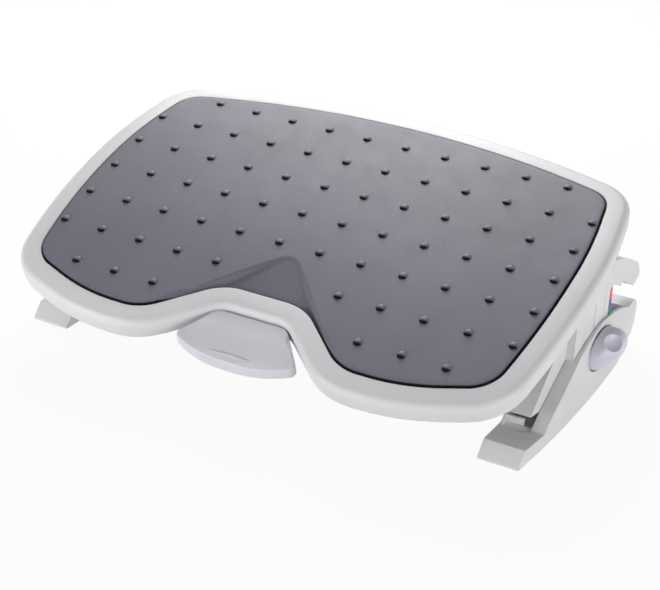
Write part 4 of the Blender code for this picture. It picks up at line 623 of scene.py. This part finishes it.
def make_mat():
    """The foot mat: one crowned sheet with a rounded edge in painted shade, near black, and its scoop."""
    edge = RIM_BAND + MAT_GAP
    border = platform_outline(edge + MAT_EDGE)
    count = len(border)
    flat, faces = sheet_faces(border, mat_places(border))
    shape = bmesh.new()
    shade = shape.verts.layers.float.new("shade")

    def layer(places, fall):
        return [shape.verts.new(on_deck(p.x, p.y, -scoop_drop(p.x, p.y) - fall)) for p in places]

    top = layer(flat, 0)
    bottom = layer(flat, MAT_THICKNESS)
    for face in faces:
        shape.faces.new([top[i] for i in face])
        shape.faces.new([bottom[i] for i in reversed(face)])
    loops = [top[:count]]
    for k in range(1, MAT_EDGE_STEPS + 1):
        angle = math.radians(90) * k / MAT_EDGE_STEPS
        inset = edge + MAT_EDGE * (1 - math.sin(angle))
        loops.append(layer(platform_outline(inset), MAT_EDGE * (1 - math.cos(angle))))
    low = layer(platform_outline(edge), MAT_THICKNESS)
    shaded = {vert for loop in (*loops[2:], low) for vert in loop}
    loops += [low, bottom[:count]]
    strips(shape, loops, turned=True)
    bmesh.ops.recalc_face_normals(shape, faces=shape.faces)
    # Painted shade: the lower part of the rounded edge and the side wall are marked near black
    for vert in shaded:
        vert[shade] = 1
    dressed(new_object("foot_mat_sheet", shape), "foot_mat", sharp=60)


def socket_id(tree, name):
    """The identifier of a tree's named input."""
    for item in tree.interface.items_tree:
        if item.item_type == "SOCKET" and item.in_out == "INPUT" and item.name == name:
            return item.identifier


def dot_tree():
    """Geometry Nodes: a low dome on every point, turned to the deck's normal there."""
    tree = bpy.data.node_groups.new("mat_dots", "GeometryNodeTree")
    sockets = tree.interface
    sockets.new_socket("Geometry", in_out="INPUT", socket_type="NodeSocketGeometry")
    sockets.new_socket("Dot radius", in_out="INPUT", socket_type="NodeSocketFloat")
    sockets.new_socket("Dot height", in_out="INPUT", socket_type="NodeSocketFloat")
    sockets.new_socket("Rubber", in_out="INPUT", socket_type="NodeSocketMaterial")
    sockets.new_socket("Geometry", in_out="OUTPUT", socket_type="NodeSocketGeometry")

    def node(kind, **inputs):
        made = tree.nodes.new(kind)
        for key, value in inputs.items():
            key = key.replace("_", " ")
            if isinstance(value, bpy.types.NodeSocket):
                tree.links.new(value, made.inputs[key])
            else:
                made.inputs[key].default_value = value
        return made

    given = node("NodeGroupInput").outputs
    size = node(
        "ShaderNodeCombineXYZ",
        X=given["Dot radius"],
        Y=given["Dot radius"],
        Z=given["Dot height"],
    )
    ball = node("GeometryNodeMeshUVSphere", Segments=DOT_SEGMENTS, Rings=DOT_RINGS, Radius=1.0)
    dome = node("GeometryNodeTransform", Geometry=ball.outputs["Mesh"], Scale=size.outputs[0])
    normal = node("GeometryNodeInputNamedAttribute", Name="deck_normal")
    normal.data_type = "FLOAT_VECTOR"
    turn = node("FunctionNodeAlignRotationToVector", Vector=normal.outputs["Attribute"])
    turn.axis = "Z"
    placed = node(
        "GeometryNodeInstanceOnPoints",
        Points=given["Geometry"],
        Instance=dome.outputs["Geometry"],
        Rotation=turn.outputs["Rotation"],
    )
    real = node("GeometryNodeRealizeInstances", Geometry=placed.outputs["Instances"])
    finished = node(
        "GeometryNodeSetMaterial",
        Geometry=real.outputs["Geometry"],
        Material=given["Rubber"],
    )
    node("NodeGroupOutput", Geometry=finished.outputs["Geometry"])
    return tree


def make_dots():
    """The mat's dots, on a straight grid, with painted shade on their front sides."""
    places = []
    for row, columns in DOT_ROWS:
        y = row * DOT_PITCH_Y
        for column in columns:
            for _, side in SIDES:
                places.append((on_deck(side * (column + 0.5) * DOT_PITCH_X, y, 0), deck_normal(y)))
    mesh = bpy.data.meshes.new("foot_mat_dots")
    mesh.from_pydata([place for place, _ in places], [], [])
    attribute = mesh.attributes.new("deck_normal", "FLOAT_VECTOR", "POINT")
    attribute.data.foreach_set("vector", [value for _, normal in places for value in normal])
    dots = linked("foot_mat_dots", mesh)
    modifier = dots.modifiers.new("dots", "NODES")
    tree = dot_tree()
    modifier.node_group = tree
    modifier[socket_id(tree, "Dot radius")] = DOT_RADIUS
    modifier[socket_id(tree, "Dot height")] = DOT_HEIGHT
    modifier[socket_id(tree, "Rubber")] = MATERIALS["mat_rubber"]
    dressed(plain(dots), body="platform", slot="mat_rubber")
    # Painted shade: each point's shade grows with how far its side leans to the front
    front = DECK.to_3x3() @ Vector((0, -1, 0))
    shade = dots.data.attributes.new("shade", "FLOAT", "POINT")
    leaning = [vert.normal.dot(front) for vert in dots.data.vertices]
    shade.data.foreach_set("value", [min(max(lean * SHADE_GAIN - SHADE_OFFSET, 0), 1) for lean in leaning])


# Mouldings: the solids' own shapes, with finer curves and rounded edges


def softened(node, radius, levels, crease_from):
    """A copy of a node with rounded edges, whose wide facets are smoothed into curves."""
    shape = bmesh.new()
    shape.from_mesh(NODES[node].data)
    bmesh.ops.remove_doubles(shape, verts=shape.verts, dist=WELD)
    bmesh.ops.dissolve_limit(
        shape, angle_limit=FLAT_WITHIN, use_dissolve_boundaries=False,
        verts=shape.verts, edges=shape.edges, delimit={"NORMAL"},
    )
    piece = new_object(node + "_moulding", shape)
    bevel = piece.modifiers.new("rounded edges", "BEVEL")
    bevel.width = radius
    bevel.segments = BEVEL_SEGMENTS
    bevel.limit_method = "ANGLE"
    bevel.angle_limit = BEVEL_FROM
    piece.modifiers.new("triangles", "TRIANGULATE").min_vertices = 5
    piece = plain(piece)
    shape = bmesh.new()
    shape.from_mesh(piece.data)
    crease = shape.edges.layers.float.new("crease_edge")
    for edge in shape.edges:
        sharp = len(edge.link_faces) != 2 or edge.calc_face_angle(0) > math.radians(crease_from)
        edge[crease] = 1.0 if sharp else 0.0
    shape.to_mesh(piece.data)
    shape.free()
    smooth = piece.modifiers.new("finer curves", "SUBSURF")
    smooth.levels = smooth.render_levels = levels
    smooth.boundary_smooth = "PRESERVE_CORNERS"
    return dressed(plain(piece), node, sharp=MOULDING_SHARP)


def make_mouldings():
    """The right side's mouldings, and their mirror images on the left."""
    for word, finish in SOFTENED.items():
        right = softened("right_" + word, *finish)
        mesh = right.data.copy()
        mesh.transform(Matrix.Scale(-1, 4, (1, 0, 0)))
        mesh.flip_normals()
        left = linked(f"left_{word}_moulding", mesh)
        dressed(left, "left_" + word, sharp=MOULDING_SHARP)


# Pedal: a smooth moulded pad over the solid's own arms


def pedal_front():
    """Where the pad's front edge lies along the deck."""
    return NOTCH_DEPTH - FRONT_REACH - PEDAL_GAP - PEDAL_LENGTH


def pedal_outline(inset):
    """The pad's outline: a bowed front that narrows towards the notch."""
    wide = PEDAL_BACK_HALF + PEDAL_FLARE
    half = [
        (wide / 2, pedal_front(), PEDAL_FRONT_RADIUS),
        (wide, pedal_front() + PEDAL_SWEEP, PEDAL_CORNER_RADIUS),
        (PEDAL_BACK_HALF, pedal_front() + PEDAL_LENGTH, PEDAL_BACK_RADIUS),
    ]
    return rounded_outline(half + [(-x, y, radius) for x, y, radius in reversed(half)], inset)


def grip_height(x, y):
    """A lens-shaped grip near the front: a raised front half and a sunk rear one."""
    lens = 1 - (x / GRIP_HALF_LENGTH) ** 2
    if lens <= 0:
        return 0
    share = (y - pedal_front() - GRIP_SETBACK) / (GRIP_HALF_WIDTH * lens)
    for (start, low), (end, high) in zip(GRIP_PROFILE, GRIP_PROFILE[1:]):
        if start <= share < end:
            step = (share - start) / (end - start)
            return lens * (low + (high - low) * step * step * (3 - 2 * step))
    return 0


def pad_height(x, y):
    """The pad's top: a flat rear wing, a soft crease and a hollow tread with its grip."""
    away = y - pedal_front() - TREAD_SETBACK
    tread = PEDAL_TOP - TREAD_DEPTH + TREAD_RADIUS - math.sqrt(TREAD_RADIUS**2 - away**2)
    blend = max(TREAD_CREASE - abs(tread - PEDAL_TOP), 0) ** 2 / (4 * TREAD_CREASE)
    return min(tread, PEDAL_TOP) - blend + grip_height(x, y) + PEDAL_SKIN


def pad_places(border):
    """The border's points, a grid inside it, and a finer grid round the grip."""
    places = list(border)
    safe = pedal_outline(PEDAL_ROUND + PEDAL_CELL / 2)
    grip_y = pedal_front() + GRIP_SETBACK
    for cell, fine in ((PEDAL_CELL, False), (GRIP_CELL, True)):
        wide = int((PEDAL_BACK_HALF + PEDAL_FLARE) / cell)
        for i in range(-wide, wide + 1):
            for j in range(int(PEDAL_LENGTH / cell) + 1):
                x = i * cell
                y = pedal_front() + j * cell + (i % 2) * cell / 2
                near = abs(x) < GRIP_HALF_LENGTH + cell and abs(y - grip_y) < GRIP_HALF_WIDTH + cell
                if near == fine and inside(safe, x, y):
                    places.append(Vector((x, y)))
    return places


def pedal_core(shape):
    """The solid pedal, drawn in a little at its pad so that it lies under the smooth skin."""
    shape.from_mesh(NODES["foot_pedal"].data)
    bmesh.ops.remove_doubles(shape, verts=shape.verts, dist=WELD)
    inverse = DECK.inverted()
    near_edge = pedal_outline(PEDAL_WALL / 4)
    hollow = PEDAL_TOP - TREAD_DEPTH - PEDAL_WALL
    middle = pedal_front() + PEDAL_LENGTH / 2
    for vert in shape.verts:
        x, y, z = inverse @ vert.co
        z += y * y / (2 * CROWN_RADIUS)
        if y > pedal_front() + PEDAL_LENGTH + PEDAL_SKIN:
            continue
        if z > hollow + PEDAL_SKIN:
            z = min(z, pad_height(x, y)) - PEDAL_ROUND
        if not inside(near_edge, x, y):
            x *= 1 - PEDAL_ROUND / PEDAL_BACK_HALF
            y = middle + (y - middle) * (1 - 2 * PEDAL_ROUND / PEDAL_LENGTH)
        vert.co = on_deck(x, y, z)


def make_pedal():
    """The foot pedal: a smooth pad with rounded edges over the solid's drawn-in core."""
    shape = bmesh.new()
    pedal_core(shape)
    border = pedal_outline(PEDAL_ROUND)
    count = len(border)
    flat, faces = sheet_faces(border, pad_places(border))

    def sheet(fall):
        return [shape.verts.new(on_deck(p.x, p.y, pad_height(p.x, p.y) - fall)) for p in flat]

    def wall(inset, fall=None):
        ring = []
        for place, p in zip(border, pedal_outline(inset)):
            level = PEDAL_TOP - PEDAL_THICKNESS
            if fall is not None:
                level = pad_height(place.x, place.y) - fall
            ring.append(shape.verts.new(on_deck(p.x, p.y, level)))
        return ring

    top = sheet(0)
    under = sheet(PEDAL_ROUND / 2)
    made = []
    for face in faces:
        made.append(shape.faces.new([top[i] for i in face]))
        made.append(shape.faces.new([under[i] for i in reversed(face)]))
    loops = [top[:count]]
    reach = PEDAL_ROUND + PEDAL_SKIN
    for k in range(1, PEDAL_EDGE_STEPS + 1):
        angle = math.radians(90) * k / PEDAL_EDGE_STEPS
        inset = PEDAL_ROUND - reach * math.sin(angle)
        loops.append(wall(inset, PEDAL_ROUND * (1 - math.cos(angle))))
    loops += [wall(-PEDAL_SKIN), wall(PEDAL_WALL / 2)]
    loops += [wall(PEDAL_WALL / 2, PEDAL_WALL), under[:count]]
    made += strips(shape, loops, turned=True)
    bmesh.ops.recalc_face_normals(shape, faces=made)
    dressed(new_object("foot_pedal_moulding", shape), "foot_pedal", sharp=50)


# Height buttons


def lofted(shape, rings, tip=None):
    """Faces through rings of equal count, with a flat end first and a tip or flat end last."""
    loops = [[shape.verts.new(place) for place in ring] for ring in rings]
    count = len(loops[0])
    shape.faces.new(loops[0])
    strips(shape, loops)
    if tip is None:
        shape.faces.new(loops[-1])
    else:
        point = shape.verts.new(tip)
        for k in range(count):
            shape.faces.new((loops[-1][k], loops[-1][(k + 1) % count], point))
    bmesh.ops.recalc_face_normals(shape, faces=shape.faces)


def curve_through(points, steps):
    """A smooth curve through points, as a list of points."""
    points = [Vector(p) for p in points]
    before = [2 * points[0] - points[1]] + points[:-1]
    after = points[1:] + [2 * points[-1] - points[-2]]
    slopes = [(b - a) / 2 for a, b in zip(before, after)]
    made = []
    for (start, end), (out, into) in zip(zip(points, points[1:]), zip(slopes, slopes[1:])):
        for k in range(steps):
            t = k / steps
            made.append(
                start * (2 * t**3 - 3 * t**2 + 1)
                + out * (t**3 - 2 * t**2 + t)
                + end * (3 * t**2 - 2 * t**3)
                + into * (t**3 - t**2)
            )
    return made + [points[-1]]


def make_button(name, side):
    """A smooth domed button with its stem, its bore and the round dimple that is pressed."""
    low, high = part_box(name + "_height_button")
    base = max(abs(low.x), abs(high.x)) - BUTTON_HEIGHT
    stem_end = min(abs(low.x), abs(high.x))
    y = (low.y + high.y) / 2
    z = low.z + BUTTON_HALF_HEIGHT
    turns = [math.radians(360) * k / BUTTON_SIDES for k in range(BUTTON_SIDES)]

    def ring(x, along, up, shift=(0, 0)):
        return [
            (side * x, y + shift[0] + along * math.cos(a), z + shift[1] + up * math.sin(a)) for a in turns
        ]

    bore = STEM_RADIUS - BUTTON_WALL
    stem = (0, -STEM_DROP)
    rings = [
        ring(base + BUTTON_BORE_DEPTH, bore, bore, stem),
        ring(stem_end, bore, bore, stem),
        ring(stem_end, STEM_RADIUS, STEM_RADIUS, stem),
        ring(base, STEM_RADIUS, STEM_RADIUS, stem),
    ]
    dome = curve_through(DOME_SHARES, DOME_CURVE_STEPS)
    for height, size, lean in dome[:-1]:
        shift = (lean * BUTTON_LEAN_Y, lean * BUTTON_LEAN_Z)
        x = base + min(height, 1) * BUTTON_HEIGHT
        rings.append(ring(x, size * BUTTON_HALF_LENGTH, size * BUTTON_HALF_HEIGHT, shift))
    shape = bmesh.new()
    tip = (side * (base + BUTTON_HEIGHT), y + BUTTON_LEAN_Y, z + BUTTON_LEAN_Z)
    lofted(shape, rings, tip)
    body = new_object(name + "_height_button_dome", shape)
    facing = Vector(DIMPLE_FACING).normalized()
    outward, along, up = DIMPLE_SHARES
    surface = Vector(
        (
            base + outward * BUTTON_HEIGHT,
            y + along * BUTTON_HALF_LENGTH,
            z + up * BUTTON_HALF_HEIGHT,
        )
    )
    centre = surface + facing * (DIMPLE_RADIUS - DIMPLE_DEPTH)
    centre.x *= side
    ball = bmesh.new()
    bmesh.ops.create_uvsphere(
        ball,
        u_segments=DIMPLE_SEGMENTS,
        v_segments=DIMPLE_RINGS,
        radius=DIMPLE_RADIUS,
        matrix=Matrix.Translation(centre),
    )
    cutter = new_object("dimple_cutter", ball)
    cut = body.modifiers.new("dimple", "BOOLEAN")
    cut.object = cutter
    cut.operation = "DIFFERENCE"
    cut.solver = "EXACT"
    plain(body)
    bpy.data.objects.remove(cutter)
    dressed(body, name + "_height_button", sharp=35)


# Springs


def wire_along(name, path, thickness):
    """A round wire along a path, with flat ends."""
    shape = bmesh.new()
    rings = []
    across = Vector(WIRE_FIRST_ACROSS)
    for i, place in enumerate(path):
        ahead = (path[min(i + 1, len(path) - 1)] - path[max(i - 1, 0)]).normalized()
        across = (across - ahead * across.dot(ahead)).normalized()
        other = ahead.cross(across)
        ring = []
        for k in range(WIRE_SIDES):
            angle = math.radians(360) * k / WIRE_SIDES
            ring.append(place + thickness / 2 * (across * math.cos(angle) + other * math.sin(angle)))
        rings.append(ring)
    lofted(shape, rings)
    return new_object(name, shape)


def coil_path(frame_matrix, centre, radius, low, high, turns):
    """Points of a coil round the Z axis of a turned frame."""
    count = round(turns * COIL_STEPS)
    path = []
    for i in range(count + 1):
        angle = math.radians(360) * i / COIL_STEPS
        height = low + (high - low) * i / count
        across = centre[0] + radius * math.cos(angle)
        along = centre[1] + radius * math.sin(angle)
        path.append(frame_matrix @ Vector((across, along, height)))
    return path


def turned_box(node, frame_matrix):
    """The low and high corner of a node in a turned frame."""
    inverse = frame_matrix.inverted() @ NODES[node].matrix_world
    places = [inverse @ vert.co for vert in NODES[node].data.vertices]
    corners = [[pick(p[axis] for p in places) for axis in range(3)] for pick in (min, max)]
    return Vector(corners[0]), Vector(corners[1])


def make_spring(node, frame_matrix, turns, wire, downwards):
    """A compression spring in place of a node."""
    low, high = turned_box(node, frame_matrix)
    centre = (low + high) / 2
    radius = (high.x - low.x - wire) / 2
    ends = (low.z + wire / 2, high.z - wire / 2)
    path = coil_path(frame_matrix, centre, radius, *ends, turns)
    coil = dressed(wire_along(node + "_coil", path, wire), node, rides=False)
    ends = [frame_matrix @ Vector((centre.x, centre.y, z)) for z in ends]
    if downwards:
        ends.reverse()
    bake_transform(coil)


def make_lock_spring():
    """A torsion spring round the lock shaft: one leg on the deck, the other on the release bar."""
    lock = DECK.inverted() @ Vector(JOINTS["lock_release"]["pos_m"])
    _, high = turned_box("lock_spring", DECK)
    half = LOCK_SPRING_WIRE * (LOCK_SPRING_TURNS + 1) / 2
    turned = DECK @ Matrix.Translation(lock) @ Matrix(((0, 0, 1), (-1, 0, 0), (0, 1, 0))).to_4x4()
    coil = coil_path(turned, (0, 0), LOCK_SPRING_RADIUS, -half, half, LOCK_SPRING_TURNS)
    deck = high.z - LOCK_SPRING_WIRE / 2
    radius = LOCK_SPRING_RADIUS
    bar_y = lock.y - RELEASE_BAR_BACK
    bar_top = lock.z - RELEASE_BAR_DROP + RELEASE_BAR_RADIUS + LOCK_SPRING_WIRE / 2
    bar_top += LOCK_SPRING_CLEARANCE
    head = [
        DECK @ Vector((-half, lock.y - radius * 2, deck)),
        DECK @ Vector((-half, lock.y - radius, deck - LOCK_SPRING_WIRE)),
    ]
    tail = [
        DECK @ Vector((half, lock.y - radius - LOCK_SPRING_WIRE, bar_top + LOCK_SPRING_WIRE)),
        DECK @ Vector((half, bar_y - RELEASE_BAR_RADIUS / 2, bar_top)),
    ]
    spring = wire_along("lock_spring_coil", head + coil + tail, LOCK_SPRING_WIRE)
    dressed(spring, "lock_spring", rides=False)
    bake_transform(spring)


def make_springs():
    """The pedal's spring, one for each button, and the lock's."""
    make_spring("pedal_spring", DECK, PEDAL_SPRING_TURNS, PEDAL_SPRING_WIRE, True)
    for name, side in SIDES:
        sideways = Matrix(((0, 0, side), (1, 0, 0), (0, 1, 0))).to_4x4()
        spring = name + "_button_spring"
        make_spring(spring, sideways, BUTTON_SPRING_TURNS, BUTTON_SPRING_WIRE, False)
    make_lock_spring()


# Studio: a white floor, one soft light from the left and back, and two from the front


def stage_floor():
    """A floor that the camera sees nearly white, with a faint shadow of the object."""
    mesh = bpy.data.meshes.new("studio_floor")
    reach = FLOOR_REACH
    low = FLOOR_LEVEL
    mesh.from_pydata(
        [(-reach, -reach, low), (reach, -reach, low), (reach, reach, low), (-reach, reach, low)],
        [],
        [(0, 1, 2, 3)],
    )
    floor = linked("studio_floor", mesh)
    surface = Surface("matt_white_paper_floor", roughness=0.9)
    surface.set("Base Color", surface.ramp(surface.noise(3), (0.0, "#f2f2f2"), (1.0, "#f7f7f7")))
    white = surface.node("ShaderNodeEmission", {"Color": (1, 1, 1, 1)})
    path = surface.node("ShaderNodeLightPath").outputs
    either = surface.node(
        "ShaderNodeMath", {0: path["Is Glossy Ray"], 1: path["Is Transmission Ray"]}, operation="MAXIMUM"
    )
    seen = surface.node(
        "ShaderNodeMath", {0: path["Is Camera Ray"], 1: FLOOR_WHITE_SHARE}, operation="MULTIPLY"
    )
    share = surface.node(
        "ShaderNodeMath", {0: either.outputs[0], 1: seen.outputs[0]}, operation="MAXIMUM"
    )
    mix = surface.node(
        "ShaderNodeMixShader", {0: share.outputs[0], 1: surface.shader.outputs[0], 2: white.outputs[0]}
    )
    surface.tree.links.new(mix.outputs[0], surface.tree.nodes["Material Output"].inputs["Surface"])
    mesh.materials.append(surface.material)


def area_light(name, place, aim, size, power):
    """A round soft light that points from its place to its aim."""
    data = bpy.data.lights.new(name, "AREA")
    data.shape = "DISK"
    data.size = size
    data.energy = power
    light = linked(name, data)
    light.location = place
    light.rotation_euler = (Vector(place) - Vector(aim)).to_track_quat("Z", "Y").to_euler()


def world_light():
    """Bright at the horizon and dimmer overhead. The camera sees plain white."""
    world = bpy.data.worlds.new("studio_world")
    bpy.context.scene.world = world
    world.use_nodes = True
    nodes = world.node_tree.nodes
    links = world.node_tree.links
    background = nodes["Background"]
    direction = nodes.new("ShaderNodeSeparateXYZ")
    links.new(nodes.new("ShaderNodeTexCoord").outputs["Generated"], direction.inputs[0])
    level = nodes.new("ShaderNodeMapRange")
    level.inputs["From Max"].default_value = WORLD_FADE_HEIGHT
    level.inputs["To Min"].default_value = WORLD_HORIZON
    level.inputs["To Max"].default_value = WORLD_OVERHEAD
    links.new(direction.outputs["Z"], level.inputs["Value"])
    seen = nodes.new("ShaderNodeMath")
    seen.operation = "MAXIMUM"
    links.new(nodes.new("ShaderNodeLightPath").outputs["Is Camera Ray"], seen.inputs[0])
    links.new(level.outputs["Result"], seen.inputs[1])
    links.new(seen.outputs[0], background.inputs["Strength"])
    background.inputs["Color"].default_value = (1, 1, 1, 1)


def photo_camera():
    """The camera that the photograph was taken from, as fitted to the mat's dots."""
    back = Vector(
        (
            math.sin(AZIMUTH) * math.cos(ELEVATION),
            -math.cos(AZIMUTH) * math.cos(ELEVATION),
            math.sin(ELEVATION),
        )
    )
    level = Vector((math.cos(AZIMUTH), math.sin(AZIMUTH), 0))
    right = level * math.cos(ROLL) + back.cross(level) * math.sin(ROLL)
    up = back.cross(right)
    data = bpy.data.cameras.new("photo_camera")
    data.sensor_width = 36
    data.lens = data.sensor_width * FOCAL_PIXELS / PHOTO_WIDTH
    camera = linked("photo_camera", data)
    turned = Matrix((right, up, back)).transposed().to_4x4()
    camera.matrix_world = Matrix.Translation(CAMERA_PLACE) @ turned
    bpy.context.scene.camera = camera


make_rim()
make_mat()
make_dots()
make_mouldings()
make_pedal()
for side_name, side_sign in SIDES:
    make_button(side_name, side_sign)
make_springs()

stage_floor()
for light_settings in LIGHTS:
    area_light(*light_settings)
world_light()
photo_camera()
bpy.context.scene.view_settings.view_transform = "Standard"
